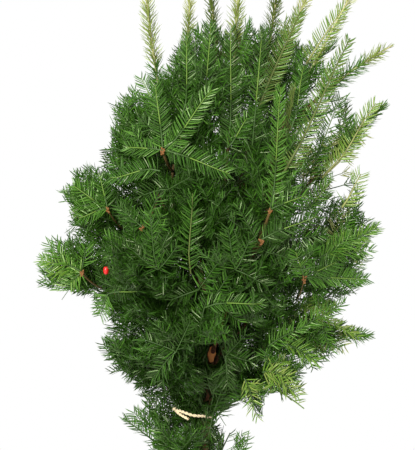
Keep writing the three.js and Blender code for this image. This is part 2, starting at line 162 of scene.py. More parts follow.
class Curve:
    """A Bezier curve that is read by its share of length."""

    def __init__(self, *controls: ArrayLike) -> None:
        """Measure the curve.

        Args:
            controls: The curve's control points, the ends included.
        """
        self.controls = [np.asarray(point, dtype=float) for point in controls]
        self.ticks = np.linspace(0, 1, CURVE_STEPS + 1)
        steps = np.linalg.norm(np.diff(self._points(self.ticks), axis=0), axis=1)
        self.reached = np.concatenate(([0.0], np.cumsum(steps)))
        self.length = float(self.reached[-1])

    def _points(self, ticks: Array) -> Array:
        """Give the points at raw curve values."""
        layers = [np.broadcast_to(point, (len(ticks), 3)) for point in self.controls]
        share = ticks[:, None]
        while len(layers) > 1:
            layers = [a + (b - a) * share for a, b in zip(layers, layers[1:])]
        return layers[0]

    def _ticks(self, shares: ArrayLike) -> Array:
        """Turn shares of length into raw curve values."""
        return np.interp(np.atleast_1d(shares) * self.length, self.reached, self.ticks)

    def at(self, shares: ArrayLike) -> Array:
        """Give the points at shares of the length, as rows."""
        return self._points(self._ticks(shares))

    def heading(self, shares: ArrayLike) -> Array:
        """Give the curve's unit directions at shares of the length, as rows."""
        ticks = self._ticks(shares)
        ahead, behind = np.minimum(ticks + CURVE_NUDGE, 1), np.maximum(ticks - CURVE_NUDGE, 0)
        return unit(self._points(ahead) - self._points(behind))

    def point(self, share: float) -> Array:
        """Give the one point at a share of the length."""
        return self.at(share)[0]

    def way(self, share: float) -> Array:
        """Give the one unit direction at a share of the length."""
        return self.heading(share)[0]


# The plant's plan, which its frame follows too


class Kind(Enum):
    """What sort of mass of foliage it is."""

    SPRAY = "spray"
    LEADER = "leader"
    FOOT = "foot"


@dataclass(frozen=True)
class Habit:
    """How the shoots stand in one kind of mass.

    The span and the bare part are shares of the mass's own stem, the angles at its foot and its tip are in
    degrees, and the longest shoot is in millimetres.
    """

    shoots: int
    span: tuple[float, float]
    longest: float
    angles: tuple[float, float]
    lift: float
    laps: int
    bare: float


HABITS = {
    Kind.SPRAY: Habit(
        shoots=8, span=(0.05, 0.84), longest=175, angles=(68, 42), lift=0.24, laps=9, bare=0.42
    ),
    Kind.LEADER: Habit(shoots=6, span=(0.06, 0.6), longest=160, angles=(58, 36), lift=0.2, laps=5, bare=0.3),
    Kind.FOOT: Habit(shoots=5, span=(0.3, 0.86), longest=100, angles=(70, 44), lift=0.06, laps=7, bare=0.3),
}


@dataclass(frozen=True)
class ShootRule:
    """How a mass's side shoots are dealt out, in shares, degrees and millimetres, as in the frame."""

    seeds: tuple[int, int, int] = (4001, 97, 7919)
    later_length: float = 0.8
    lap_loss: float = 0.04
    place_play: float = 0.6
    turn_play: float = 0.7
    lap_turn: float = 1.9
    spread_play: float = 12
    tip_length: float = 0.62
    least_length: float = 0.86
    length_play: float = 0.28
    roll_play: float = 0.5
    deepest: float = 34
    later_shortest: float = 0.7
    shrink: float = 0.88
    tested: tuple[float, ...] = (0.35, 0.6, 0.85, 1)


@dataclass(frozen=True)
class LimbRule:
    """How short shoots stand on a bare limb, in shares, degrees and millimetres."""

    turn_play: float = 0.7
    spread: float = 58
    spread_play: float = 20
    lift: float = 0.15
    least_length: float = 0.7
    length_play: float = 0.5
    shortest: float = 0.45
    shrink: float = 0.85
    inset: float = 4.0
    tested: tuple[float, ...] = (0.3, 0.4, 0.5, 0.65, 0.8, 1.0)


SHOOT_RULE = ShootRule()
LIMB_RULE = LimbRule()


@dataclass(frozen=True)
class Mass:
    """One mass of foliage: its bough's root on the stem, and its own base and tip, as reach and height."""

    name: str
    kind: Kind
    leaves: float
    azimuth: float
    tip: tuple[float, float]
    base: tuple[float, float] | None = None
    turn: float = 0.0
    fullness: float = 1.0

    @property
    def node(self) -> str:
        """The frame's node of this mass."""
        return f"foliage_{self.name}"

    @property
    def bough(self) -> str | None:
        """The frame's node of this mass's bough."""
        return f"bough_{self.name}" if self.base else None


@dataclass(frozen=True)
class Clearing:
    """A place in the foliage that lets the sky, the stub, the twine or the berry be seen.

    It is a box that is open towards the front.
    """

    left: float
    right: float
    low: float
    high: float
    back: float

    def holds(self, points: Array) -> NDArray[np.bool_]:
        """Tell which points, as rows, lie in the clearing."""
        x, y, z = points[:, 0], points[:, 1], points[:, 2]
        return (x > self.left) & (x < self.right) & (z > self.low) & (z < self.high) & (y < self.back)


@dataclass(frozen=True)
class Plan:
    """The stem's and boughs' sizes and the list of masses, in millimetres and degrees.

    The stem's bends are shares of its lean, millimetres to the back and shares of its height. The crown's
    rows are a height and its reach to the left, to the right and in depth there, the shoulder's are a place
    across the plant and the foliage's height there.
    """

    stem_height: float = 640
    stem_lean: float = 40
    stem_bends: tuple[tuple[float, float, float], ...] = ((0, 0, 0), (0, 0, 0.36), (0.65, 2, 0.62), (1, 5, 1))
    stem_base_radius: float = 12
    stem_top_radius: float = 3.4
    stem_taper: float = 0.8
    flare: float = 0.5
    flare_height: float = 34
    flare_lobes: int = 5
    flare_lobe_depth: float = 0.35
    bough_tip_radius: float = 2.3
    bough_swell: float = 0.0085
    bough_share: float = 0.72
    bough_leaves_at: float = 38
    bough_bends: tuple[float, float] = (0.36, 0.3)
    own_stem_bend: float = 0.42
    stub_height: float = 306
    stub_radius: float = 6.5
    stub_length: float = 42
    stub_way: tuple[float, float, float] = (0.12, -0.36, 0.92)
    stub_cut: tuple[float, float, float] = (0, -1, 0.1)
    gap: float = 0.3
    facing_roll: float = 0.75
    shortest: float = 46
    margin: float = 1.6
    crown: tuple[tuple[float, float, float, float], ...] = (
        (110, 62, 50, 84),
        (200, 86, 68, 112),
        (240, 126, 100, 132),
        (266, 100, 160, 150),
        (300, 104, 172, 184),
        (328, 150, 196, 200),
        (352, 152, 232, 206),
        (374, 162, 282, 216),
        (400, 168, 214, 226),
        (436, 172, 236, 230),
        (454, 256, 268, 235),
        (490, 266, 284, 238),
        (530, 230, 272, 240),
        (550, 222, 296, 240),
        (600, 232, 258, 232),
        (620, 220, 272, 226),
        (652, 180, 240, 220),
        (690, 152, 266, 212),
        (745, 132, 298, 186),
        (830, 96, 302, 150),
        (1000, 92, 270, 110),
    )
    shoulder: tuple[tuple[float, float], ...] = (
        (-320, 760),
        (-130, 760),
        (-62, 786),
        (-42, 802),
        (-34, 858),
        (130, 866),
        (170, 836),
        (214, 838),
        (240, 722),
        (264, 748),
        (320, 760),
    )
    masses: tuple[Mass, ...] = (
        Mass("foot_left", Kind.FOOT, 146, 174, (124, 240), fullness=0.8),
        Mass("foot_right", Kind.FOOT, 126, 14, (50, 216), fullness=0.3),
        Mass("foot_front", Kind.FOOT, 110, -118, (84, 218)),
        Mass("right_foot", Kind.SPRAY, 262, -24, (172, 262), (56, 304), 6, fullness=0.8),
        Mass("right_lower", Kind.SPRAY, 285, 6, (274, 372), (104, 356), -4, fullness=0.75),
        Mass("left_lower", Kind.SPRAY, 264, 199, (145, 318), (50, 314), -4),
        Mass("front_low", Kind.SPRAY, 280, -106, (158, 386), (46, 318), 8),
        Mass("back_low", Kind.SPRAY, 272, 98, (158, 380), (48, 314), -10),
        Mass("right_low", Kind.SPRAY, 318, -17, (268, 452), (92, 404), 3, fullness=0.6),
        Mass("right_mid", Kind.SPRAY, 350, 6, (288, 548), (100, 446), fullness=0.6),
        Mass("left_low", Kind.SPRAY, 300, 189, (252, 476), (70, 404)),
        Mass("front_mid_right", Kind.SPRAY, 330, -56, (206, 520), (68, 404)),
        Mass("front_mid_left", Kind.SPRAY, 314, -124, (196, 506), (62, 390), 2),
        Mass("back_mid_left", Kind.SPRAY, 322, 128, (200, 520), (62, 398)),
        Mass("back_mid_right", Kind.SPRAY, 340, 54, (216, 536), (70, 412)),
        Mass("left_mid", Kind.SPRAY, 372, 179, (216, 600), (64, 494)),
        Mass("front_centre", Kind.SPRAY, 380, -88, (154, 640), (56, 486), -6),
        Mass("back_upper_left", Kind.SPRAY, 404, 122, (164, 716), (56, 520)),
        Mass("back_upper_right", Kind.SPRAY, 414, 51, (200, 722), (72, 528)),
        Mass("right_upper", Kind.SPRAY, 396, -3, (294, 742), (112, 540), fullness=0.35),
        Mass("left_upper", Kind.SPRAY, 434, 187, (136, 742), (58, 580), 2),
        Mass("front_fan", Kind.SPRAY, 412, -121, (130, 776), (84, 616), 40),
        Mass("front_right", Kind.LEADER, 366, -44, (190, 760), (112, 500), 4),
        Mass("right_top", Kind.LEADER, 424, -21, (307, 830), (150, 700), 9, fullness=0.5),
        Mass("left_leader", Kind.LEADER, 464, 211, (96, 940), (44, 640), -7, fullness=0.6),
        Mass("back_leader", Kind.LEADER, 470, 103, (76, 926), (54, 650), fullness=0.8),
        Mass("front_leader", Kind.LEADER, 440, -58, (100, 940), (78, 636), 6, fullness=0.8),
        Mass("mid_leader", Kind.LEADER, 486, 5, (130, 976), (80, 664), -3, fullness=0.7),
        Mass("right_leader", Kind.LEADER, 462, 24, (194, 950), (78, 652), -7, fullness=0.7),
        Mass("slant_leader", Kind.LEADER, 450, -17, (254, 932), (112, 656), 6, fullness=0.6),
        Mass("top_leader", Kind.LEADER, 640, 12, (15, 964), fullness=0.6),
    )
    clearings: tuple[Clearing, ...] = (
        Clearing(-46, 6, 239, 264, -22),
        Clearing(12, 27, 329, 364, -8),
        Clearing(9, 31, 327, 368, -52),
        Clearing(-8, 20, 336, 370, -88),
        Clearing(3, 19, 272, 294, -12),
        Clearing(-159, -138, 468, 492, -60),
        Clearing(28, 78, 226, 252, THROUGH),
        Clearing(40, 50, 150, 226, THROUGH),
        Clearing(266, 332, 563, 596, THROUGH),
        Clearing(214, 230, 600, 651, THROUGH),
        Clearing(210, 218, 696, 716, THROUGH),
        Clearing(100, 126, 238, 289, THROUGH),
        Clearing(126, 200, 238, 272, THROUGH),
        Clearing(-240, -208, 539, 584, THROUGH),
        Clearing(-173, -144, 670, 721, THROUGH),
    )

    def stem_curve(self) -> Curve:
        """Give the main stem's centre line."""
        return Curve(*[(self.stem_lean * x, y, self.stem_height * z) for x, y, z in self.stem_bends])

    def stem_radius(self, share: ArrayLike, angle: ArrayLike = 0.0) -> Array:
        """Give the main stem's radius.

        Args:
            share: The share of the stem's length.
            angle: The angle round the stem, in radians.

        Returns:
            The radius in millimetres.
        """
        flare = self.flare * np.exp(-np.asarray(share) * self.stem_height / self.flare_height)
        lobes = 1 + self.flare_lobe_depth * flare * np.cos(self.flare_lobes * np.asarray(angle))
        thinner = self.stem_top_radius - self.stem_base_radius
        taper = self.stem_base_radius + thinner * np.power(share, self.stem_taper)
        return taper * (1 + flare) * lobes


PLAN = Plan()


class Growth:
    """The rule that places boughs, the masses' own stems and their side shoots, as in the frame."""

    def __init__(self, plan: Plan) -> None:
        """Work out where each mass starts and ends.

        Args:
            plan: The plant's sizes.
        """
        self.plan = plan
        self.stem = plan.stem_curve()
        self.heights = self.stem.at(self.stem.ticks)[:, 2]
        self.feet = [self.stem.point(self.share_at(mass.leaves)) for mass in plan.masses]
        self.bases = [
            self._around(mass.azimuth, mass.base) if mass.base else foot
            for mass, foot in zip(plan.masses, self.feet)
        ]
        self.tips = [self._around(mass.azimuth + mass.turn, mass.tip) for mass in plan.masses]
        self.starts = np.array(self.bases)
        self.spans = np.array(self.tips) - self.starts
        self.crown = np.array(plan.crown, dtype=float)
        self.shoulder = np.array(plan.shoulder, dtype=float)

    def _around(self, azimuth: float, place: tuple[float, float]) -> Array:
        """Turn an azimuth, a reach and a height into a point."""
        angle = math.radians(azimuth)
        return np.array([place[0] * math.cos(angle), place[0] * math.sin(angle), place[1]])

    def share_at(self, height: float) -> float:
        """Give the share of the stem's length at a height."""
        return float(np.interp(height, self.heights, self.stem.ticks))

    def _onwards(self, index: int) -> Array:
        """Give the direction in which a mass's stem goes on from its bough."""
        before = unit(self.bases[index] - self.feet[index])
        return unit(before + unit(self.tips[index] - self.bases[index]))

    def bough_curve(self, index: int) -> Curve:
        """Give a bough's centre line."""
        foot, base = self.feet[index], self.bases[index]
        reach = float(np.linalg.norm(base - foot))
        out = unit((base - foot) * LEVEL)
        angle = math.radians(self.plan.bough_leaves_at)
        away = UP * math.cos(angle) + out * math.sin(angle)
        low, high = self.plan.bough_bends
        return Curve(foot, foot + away * reach * low, base - self._onwards(index) * reach * high, base)

    def bough_root_radius(self, index: int) -> float:
        """Give a bough's radius at the stem."""
        span = float(np.linalg.norm(self.spans[index]))
        full = self.plan.bough_tip_radius + self.plan.bough_swell * (self.bough_curve(index).length + span)
        share = self.share_at(self.plan.masses[index].leaves)
        return min(full, self.plan.bough_share * float(self.plan.stem_radius(share)))

    def axis_curve(self, index: int) -> Curve:
        """Give the centre line of a mass's own stem."""
        mass, base, tip = self.plan.masses[index], self.bases[index], self.tips[index]
        way = self._onwards(index) if mass.base else unit(tip - base)
        reach = float(np.linalg.norm(tip - base))
        return Curve(base, base + way * reach * self.plan.own_stem_bend, tip)

    def half_widths(self, z: float) -> tuple[float, float]:
        """Give how far the crown reaches to the left and to the right at a height."""
        height, left, right, _ = self.crown.T
        return float(np.interp(z, height, left)), float(np.interp(z, height, right))

    def inside_crown(self, points: Array, spare: float = 0.0) -> NDArray[np.bool_]:
        """Tell which points the crown's outline holds.

        Args:
            points: The points, as rows.
            spare: How far outside a point may lie.

        Returns:
            One truth value for each point.
        """
        x, y, z = points[:, 0], points[:, 1], points[:, 2]
        height, left, right, depth = self.crown.T
        across = np.where(x < 0, np.interp(z, height, left), np.interp(z, height, right)) + spare
        deep = np.interp(z, height, depth) + spare
        return (np.hypot(x / across, y / deep) <= 1) & (z > height[0]) & (z < height[-1])

    def below_shoulder(self, points: Array) -> NDArray[np.bool_]:
        """Tell which points lie under the crown's shoulder, which only the leaders' own stems rise above."""
        return points[:, 2] < np.interp(points[:, 0], self.shoulder[:, 0], self.shoulder[:, 1])

    def inside_space(self, points: Array, own: int) -> Array:
        """Measure how far inside a mass's own space points lie.

        Args:
            points: The points, as rows.
            own: The mass's number.

        Returns:
            Half the difference between the nearest other stem's distance and the own stem's.
        """
        offset = points[:, None, :] - self.starts[None, :, :]
        share = np.sum(offset * self.spans, axis=2) / np.sum(self.spans**2, axis=1)
        nearest = np.clip(share, 0, 1)[:, :, None] * self.spans
        distances = np.linalg.norm(offset - nearest, axis=2)
        mine = distances[:, own].copy()
        distances[:, own] = np.inf
        return (distances.min(axis=1) - mine) / 2

    def fits(self, curve: Curve, own: int, inset: float) -> bool:
        """Tell whether a shoot stays in its mass's space and so far inside the crown."""
        points = curve.at(SHOOT_RULE.tested)
        allowed = bool(self.allows(points, -inset).all())
        return allowed and bool((self.inside_space(points, own) > self.plan.margin).all())

    def shoots(self, index: int, axis: Curve, lap: int) -> list[tuple[Curve, Array]]:
        """Place side shoots round a mass's stem, each a golden turn on from the last.

        Args:
            index: The mass's number.
            axis: The mass's own stem.
            lap: Which lap of shoots it is. Lap 0 is the frame's own.

        Returns:
            Each shoot's centre line and the direction that its needles' plane faces.
        """
        habit, rule = HABITS[self.plan.masses[index].kind], SHOOT_RULE
        draw = Seeded(rule.seeds[0] + rule.seeds[1] * index + rule.seeds[2] * lap)
        short = 1.0 if lap == 0 else rule.later_length - rule.lap_loss * lap
        made: list[tuple[Curve, Array]] = []
        for k in range(habit.shoots):
            along = mix(*habit.span, (k + rule.place_play * draw()) / habit.shoots)
            start, heading = axis.point(along), axis.way(along)
            upright = UP if abs(heading[2]) < STEEP else BACK
            turn = k * GOLDEN_TURN + index + draw.swing(rule.turn_play) + lap * rule.lap_turn
            beside = unit(np.cross(heading, upright))
            out = beside * math.cos(turn) + square_to(upright, heading) * math.sin(turn)
            spread = math.radians(mix(*habit.angles, along) + draw.swing(rule.spread_play))
            way = unit(out * math.sin(spread) + heading * math.cos(spread) + UP * habit.lift)
            length = habit.longest * short * mix(1, rule.tip_length, along)
            length *= rule.least_length + rule.length_play * draw()
            roll = (1 if k % 2 else -1) * self.plan.facing_roll + draw.swing(rule.roll_play)
            inset = 0.0 if lap == 0 else rule.deepest * draw()
            while length >= self.plan.shortest * (1 if lap == 0 else rule.later_shortest):
                curve = self._rising(start, way, length)
                if self.fits(curve, index, inset):
                    made.append((curve, self.facing(start, way, roll)))
                    break
                length *= rule.shrink
        return made

    def _rising(self, start: Array, way: Array, length: float) -> Curve:
        """Give a shoot's centre line, which turns up a little towards its tip."""
        return Curve(start, start + way * length * 0.5, start + way * length * 0.97 + UP * length * 0.1)

    def limb_shoots(
        self, limb: Curve, count: int, span: tuple[float, float], longest: float, seed: int
    ) -> list[Curve]:
        """Place short shoots round a limb, each a golden turn on from the last.

        Args:
            limb: The limb's centre line.
            count: How many shoots there are.
            span: The part of the limb that they stand on, as shares of its length.
            longest: The longest shoot's length.
            seed: Where the row of seeded numbers starts.

        Returns:
            The shoots' centre lines.
        """
        draw, rule = Seeded(seed), LIMB_RULE
        made: list[Curve] = []
        for k in range(count):
            along = mix(*span, (k + draw()) / count)
            start, heading = limb.point(along), limb.way(along)
            turn = k * GOLDEN_TURN + seed + draw.swing(rule.turn_play)
            beside = square_to([0.0, 1.0, 0.1], heading)
            out = beside * math.cos(turn) + np.cross(heading, beside) * math.sin(turn)
            spread = math.radians(rule.spread + draw.swing(rule.spread_play))
            way = unit(out * math.sin(spread) + heading * math.cos(spread) + UP * rule.lift)
            length = longest * (rule.least_length + rule.length_play * draw())
            while length >= rule.shortest * longest:
                curve = self._rising(start, way, length)
                if self.allows(curve.at(rule.tested), -rule.inset).all():
                    made.append(curve)
                    break
                length *= rule.shrink
        return made

    def allows(self, points: Array, spare: float) -> NDArray[np.bool_]:
        """Tell at which points a twig may grow.

        Args:
            points: The points, as rows.
            spare: How far outside the crown's outline a point may lie.

        Returns:
            One truth value for each point.
        """
        return self.inside_crown(points, spare) & self.below_shoulder(points) & self.clear(points)

    def clear(self, points: Array) -> NDArray[np.bool_]:
        """Tell which points lie outside every clearing."""
        return ~np.any([clearing.holds(points) for clearing in self.plan.clearings], axis=0)

    def facing(self, start: Array, way: Array, roll: float) -> Array:
        """Give the direction, outwards and up, that a shoot's plane of needles faces."""
        outwards = unit(start * LEVEL) * 0.9 + UP
        return turned(square_to(outwards, way), way, roll)


# Meshes and materials


@dataclass
class MeshParts:
    """Corners and triangles that are gathered into one mesh."""

    corners: list[Array] = field(default_factory=list)
    faces: list[NDArray[np.int64]] = field(default_factory=list)
    shades: list[NDArray[np.int64]] = field(default_factory=list)
    count: int = 0

    def add(self, corners: Array, faces: NDArray[np.int64], shade: int | NDArray[np.int64] = 0) -> None:
        """Add a piece.

        Args:
            corners: Its corners in millimetres, as rows.
            faces: Its triangles, as rows of three corner numbers.
            shade: The number of its material, or one for each triangle.
        """
        self.corners.append(corners)
        self.faces.append(faces + self.count)
        self.shades.append(np.broadcast_to(np.asarray(shade), (len(faces),)))
        self.count += len(corners)

    @property
    def triangles(self) -> int:
        """How many triangles there are."""
        return sum(len(rows) for rows in self.faces)

    def build(self, name: str, materials: Sequence[bpy.types.Material], smooth: bool) -> bpy.types.Object:
        """Make the mesh object.

        Args:
            name: The object's name.
            materials: Its materials, in the order of the shades.
            smooth: Whether the faces are shaded smooth.

        Returns:
            The object, linked to the scene.
        """
        corners, faces = np.concatenate(self.corners) * MM, np.concatenate(self.faces)
        mesh = bpy.data.meshes.new(name)
        mesh.vertices.add(len(corners))
        mesh.vertices.foreach_set("co", corners.astype(np.float32).ravel())
        mesh.loops.add(faces.size)
        mesh.loops.foreach_set("vertex_index", faces.astype(np.int32).ravel())
        mesh.polygons.add(len(faces))
        mesh.polygons.foreach_set("loop_start", np.arange(0, faces.size, 3, dtype=np.int32))
        for material in materials:
            mesh.materials.append(material)
        mesh.polygons.foreach_set("material_index", np.concatenate(self.shades).astype(np.int32))
        mesh.polygons.foreach_set("use_smooth", np.full(len(faces), smooth))
        mesh.update(calc_edges=True)
        piece = bpy.data.objects.new(name, mesh)
        bpy.context.scene.collection.objects.link(piece)
        return piece


def round_angles(sides: int) -> Array:
    """Give the angles of a ring's corners, in radians."""
    return np.arange(sides) * 2 * math.pi / sides


def circles(across: Array, beside: Array, angles: Array) -> Array:
    """Give circles of a radius of one.

    Args:
        across: Each circle's first direction, as rows.
        beside: Its second direction, as rows.
        angles: The angles of its corners.

    Returns:
        The corners by circle and angle.
    """
    first = across[:, None, :] * np.cos(angles)[None, :, None]
    return first + beside[:, None, :] * np.sin(angles)[None, :, None]


def walls(rings: int, sides: int) -> NDArray[np.int64]:
    """Give the triangles between a tube's rings of corners."""
    foot, side = np.arange(rings - 1)[:, None] * sides, np.arange(sides)[None, :]
    a, b = (foot + side).ravel(), (foot + (side + 1) % sides).ravel()
    return np.concatenate((np.stack((a, b, b + sides), 1), np.stack((a, b + sides, a + sides), 1)))


def tapering(radius: float, loss: float) -> Callable[[Array, Array], Array]:
    """Give a radius rule that has lost a share of its radius by the tip."""
    return lambda share, angle: radius * (1 - loss * share) + 0 * angle


def tube(
    curve: Curve,
    sides: int,
    rings: int,
    radius: Callable[[Array, Array], Array],
    span: tuple[float, float] = (0.0, 1.0),
) -> tuple[Array, NDArray[np.int64]]:
    """Make a closed tube along a curve.

    Args:
        curve: The centre line, in millimetres.
        sides: How many sides the tube has.
        rings: How many rings of corners it has.
        radius: Gives the radius from the share of the length and the angle round the tube.
        span: The part of the curve that the tube covers.

    Returns:
        The corners and the triangles.
    """
    shares = np.linspace(span[0], span[1], rings)
    centres, headings = curve.at(shares), curve.heading(shares)
    across = square_to(np.where(np.abs(headings[:, 1:2]) < STEEP, BACK, RIGHT), headings)
    angles = round_angles(sides)
    reach = np.broadcast_to(radius(shares[:, None], angles[None, :]), (rings, sides))
    ring = circles(across, np.cross(headings, across), angles)
    corners = (centres[:, None, :] + ring * reach[:, :, None]).reshape(-1, 3)
    fan = np.arange(1, sides - 1)
    last = (rings - 1) * sides
    ends = np.concatenate(
        (
            np.stack((np.zeros_like(fan), fan + 1, fan), 1),
            np.stack((np.zeros_like(fan) + last, fan + last, fan + 1 + last), 1),
        )
    )
    return corners, np.concatenate((walls(rings, sides), ends))


def linear(colour: str) -> tuple[float, float, float, float]:
    """Turn an sRGB hex colour into linear values.

    Args:
        colour: The colour, such as "#4a7a2c".

    Returns:
        Linear red, green and blue, and an alpha of one.
    """
    parts = [int(colour[i : i + 2], 16) / 255 for i in (1, 3, 5)]
    red, green, blue = [c / 12.92 if c <= 0.04045 else ((c + 0.055) / 1.055) ** 2.4 for c in parts]
    return red, green, blue, 1.0


def add_node(
    tree: bpy.types.NodeTree,
    kind: str,
    settings: dict[str, Any] | None = None,
    links: dict[str, bpy.types.NodeSocket] | None = None,
) -> bpy.types.Node:
    """Add a node with its settings and its incoming links.

    Args:
        tree: The node tree.
        kind: The node's type name.
        settings: Values by name: an input socket's where there is one of that name, else the node's own.
        links: Output sockets by the name of the input that each one feeds.

    Returns:
        The node.
    """
    node = tree.nodes.new(kind)
    for name, value in (settings or {}).items():
        if name in node.inputs:
            node.inputs[name].default_value = value
        else:
            setattr(node, name, value)
    for name, socket in (links or {}).items():
        tree.links.new(socket, node.inputs[name])
    return node


def surface(
    name: str, settings: dict[str, Any]
) -> tuple[bpy.types.Material, bpy.types.NodeTree, bpy.types.Node]:
    """Start a material with one Principled surface.

    Args:
        name: The material's name.
        settings: The surface's constant values.

    Returns:
        The material, its node tree and the surface's node.
    """
    material = bpy.data.materials.new(name)
    material.use_nodes = True
    tree = material.node_tree
    tree.nodes.clear()
    shader = add_node(tree, "ShaderNodeBsdfPrincipled", settings)
    add_node(tree, "ShaderNodeOutputMaterial", links={"Surface": shader.outputs["BSDF"]})
    return material, tree, shader


class Green(Enum):
    """The greens that sprays of needles come in.

    They go from the crown's inside out to its palest leaders. The darker ones stand partly for painted
    shade on the crown's inside, and the paler ones partly for painted light at its outline. The last two
    are those of the dark leaders and of the outer shoots.
    """

    SHADED = "#1a3307"
    DEEP = "#203d0b"
    OLD = "#284a10"
    RIPE = "#325916"
    FRESH = "#436a20"
    LIGHT = "#76853f"
    PALE = "#a3a968"
    STRAW = "#c6c79c"
    OLIVE = "#53632a"
    BRIGHT = "#5a7a28"


@dataclass(frozen=True)
class NeedleFinish:
    """Living yew needles: flat, leathery, with a thin waxy skin.

    The wax gives each needle a soft pale streak where it faces the sky, over a deep green.
    """

    green: Green
    roughness: float = 0.3
    ior: float = 1.45
    specular: float = 0.6
    tint: str = "#d8e6b4"

    def make(self) -> bpy.types.Material:
        """Make the material."""
        settings = {
            "Base Color": linear(self.green.value),
            "Roughness": self.roughness,
            "IOR": self.ior,
            "Specular IOR Level": self.specular,
            "Specular Tint": linear(self.tint),
        }
        return surface(f"needles_{self.green.name.lower()}", settings)[0]


class Rind(Enum):
    """The colours of the twigs' thin rind, of old wood, of bud scales and of pale ribs."""

    STRAW = "#aaa673"
    NEW = "#5d7a26"
    GREEN = "#324d18"
    BROWN = "#5d4a24"
    BUD = "#70481b"
    OCHRE = "#4f5b22"
    LIME = "#85894c"


@dataclass(frozen=True)
class RindFinish:
    """The smooth rind of young yew shoots: green at first, then orange-brown as a thin cork forms."""

    rind: Rind
    roughness: float = 0.6

    def make(self) -> bpy.types.Material:
        """Make the material."""
        settings = {"Base Color": linear(self.rind.value), "Roughness": self.roughness, "IOR": 1.45}
        return surface(f"rind_{self.rind.name.lower()}", settings)[0]


@dataclass(frozen=True)
class BarkFinish:
    """Yew bark: thin red-brown scales that flake off over smooth purple-brown.

    The eye gets long soft flakes, about 4 mm wide and several times as tall, with darker seams between them.
    """

    flake: str = "#7d5236"
    under: str = "#55331f"
    seam: str = "#2f1d14"
    flake_mm: float = 4.0
    stretch: float = 0.22
    patches_a_flake: float = 0.4
    tone_span: tuple[float, float] = (0.35, 0.65)
    seam_share: float = 0.12
    relief_mm: float = 0.6
    roughness: float = 0.88

    def make(self) -> bpy.types.Material:
        """Make the material."""
        material, tree, shader = surface("yew_bark", {"Roughness": self.roughness, "IOR": 1.45})
        place = add_node(tree, "ShaderNodeTexCoord").outputs["Object"]
        long = add_node(tree, "ShaderNodeMapping", {"Scale": (1, 1, self.stretch)}, {"Vector": place})
        flakes = add_node(
            tree,
            "ShaderNodeTexVoronoi",
            {"Scale": 1 / (self.flake_mm * MM), "feature": "DISTANCE_TO_EDGE", "Randomness": 1.0},
            {"Vector": long.outputs["Vector"]},
        )
        patches = add_node(
            tree,
            "ShaderNodeTexNoise",
            {"Scale": self.patches_a_flake / (self.flake_mm * MM), "Detail": 4.0, "Roughness": 0.6},
            {"Vector": long.outputs["Vector"]},
        )
        tones = add_node(tree, "ShaderNodeValToRGB", links={"Fac": patches.outputs["Fac"]})
        stops = tones.color_ramp.elements
        for stop, position, colour in zip(stops, self.tone_span, (self.under, self.flake)):
            stop.position = position
            stop.color = linear(colour)
        edges = add_node(
            tree,
            "ShaderNodeMapRange",
            {"From Min": 0.0, "From Max": self.seam_share, "To Min": 0.0, "To Max": 1.0},
            {"Value": flakes.outputs["Distance"]},
        )
        blend = add_node(
            tree,
            "ShaderNodeMixRGB",
            {"Color1": linear(self.seam)},
            {"Fac": edges.outputs["Result"], "Color2": tones.outputs["Color"]},
        )
        tree.links.new(blend.outputs["Color"], shader.inputs["Base Color"])
        bump = add_node(
            tree,
            "ShaderNodeBump",
            {"Strength": 0.5, "Distance": self.relief_mm * MM},
            {"Height": edges.outputs["Result"]},
        )
        tree.links.new(bump.outputs["Normal"], shader.inputs["Normal"])
        return material


@dataclass(frozen=True)
class CutWoodFinish:
    """Freshly pruned yew heartwood: orange-brown, mottled in two tones about as fine as its 1.2 mm growth
    rings.
    """

    # Both oranges are paler than fresh yew wood: painted light, so that the cut shows bright in the foliage's
    # shade
    heart: str = "#ffb46c"
    ring: str = "#f08c3e"
    ring_mm: float = 1.2
    roughness: float = 0.7

    def make(self) -> bpy.types.Material:
        """Make the material."""
        material, tree, shader = surface("cut_heartwood", {"Roughness": self.roughness, "IOR": 1.5})
        place = add_node(tree, "ShaderNodeTexCoord").outputs["Object"]
        rings = add_node(
            tree,
            "ShaderNodeTexNoise",
            {"Scale": 1 / (self.ring_mm * 2 * MM), "Detail": 2.0},
            {"Vector": place},
        )
        blend = add_node(
            tree,
            "ShaderNodeMixRGB",
            {"Color1": linear(self.ring), "Color2": linear(self.heart)},
            {"Fac": rings.outputs["Fac"]},
        )
        tree.links.new(blend.outputs["Color"], shader.inputs["Base Color"])
        return material


@dataclass(frozen=True)
class TwineFinish:
    """Straw-coloured natural twine: dry plant fibre, twisted in two plies.

    The eye gets pale matt fibres about 0.5 mm apart along each ply, some of them darker.
    """

    fibre: str = "#f6e9c8"
    shade: str = "#dcc08a"
    fibre_mm: float = 0.5
    relief_mm: float = 0.3
    roughness: float = 0.85

    def make(self) -> bpy.types.Material:
        """Make the material."""
        settings = {"Roughness": self.roughness, "IOR": 1.5, "Sheen Weight": 0.2, "Sheen Roughness": 0.5}
        material, tree, shader = surface("plant_fibre_twine", settings)
        place = add_node(tree, "ShaderNodeTexCoord").outputs["Object"]
        fibres = add_node(
            tree,
            "ShaderNodeTexNoise",
            {"Scale": 1 / (self.fibre_mm * 2 * MM), "Detail": 3.0, "Roughness": 0.7},
            {"Vector": place},
        )
        blend = add_node(
            tree,
            "ShaderNodeMixRGB",
            {"Color1": linear(self.shade), "Color2": linear(self.fibre)},
            {"Fac": fibres.outputs["Fac"]},
        )
        tree.links.new(blend.outputs["Color"], shader.inputs["Base Color"])
        bump = add_node(
            tree,
            "ShaderNodeBump",
            {"Strength": 0.6, "Distance": self.relief_mm * MM},
            {"Height": fibres.outputs["Fac"]},
        )
        tree.links.new(bump.outputs["Normal"], shader.inputs["Normal"])
        return material


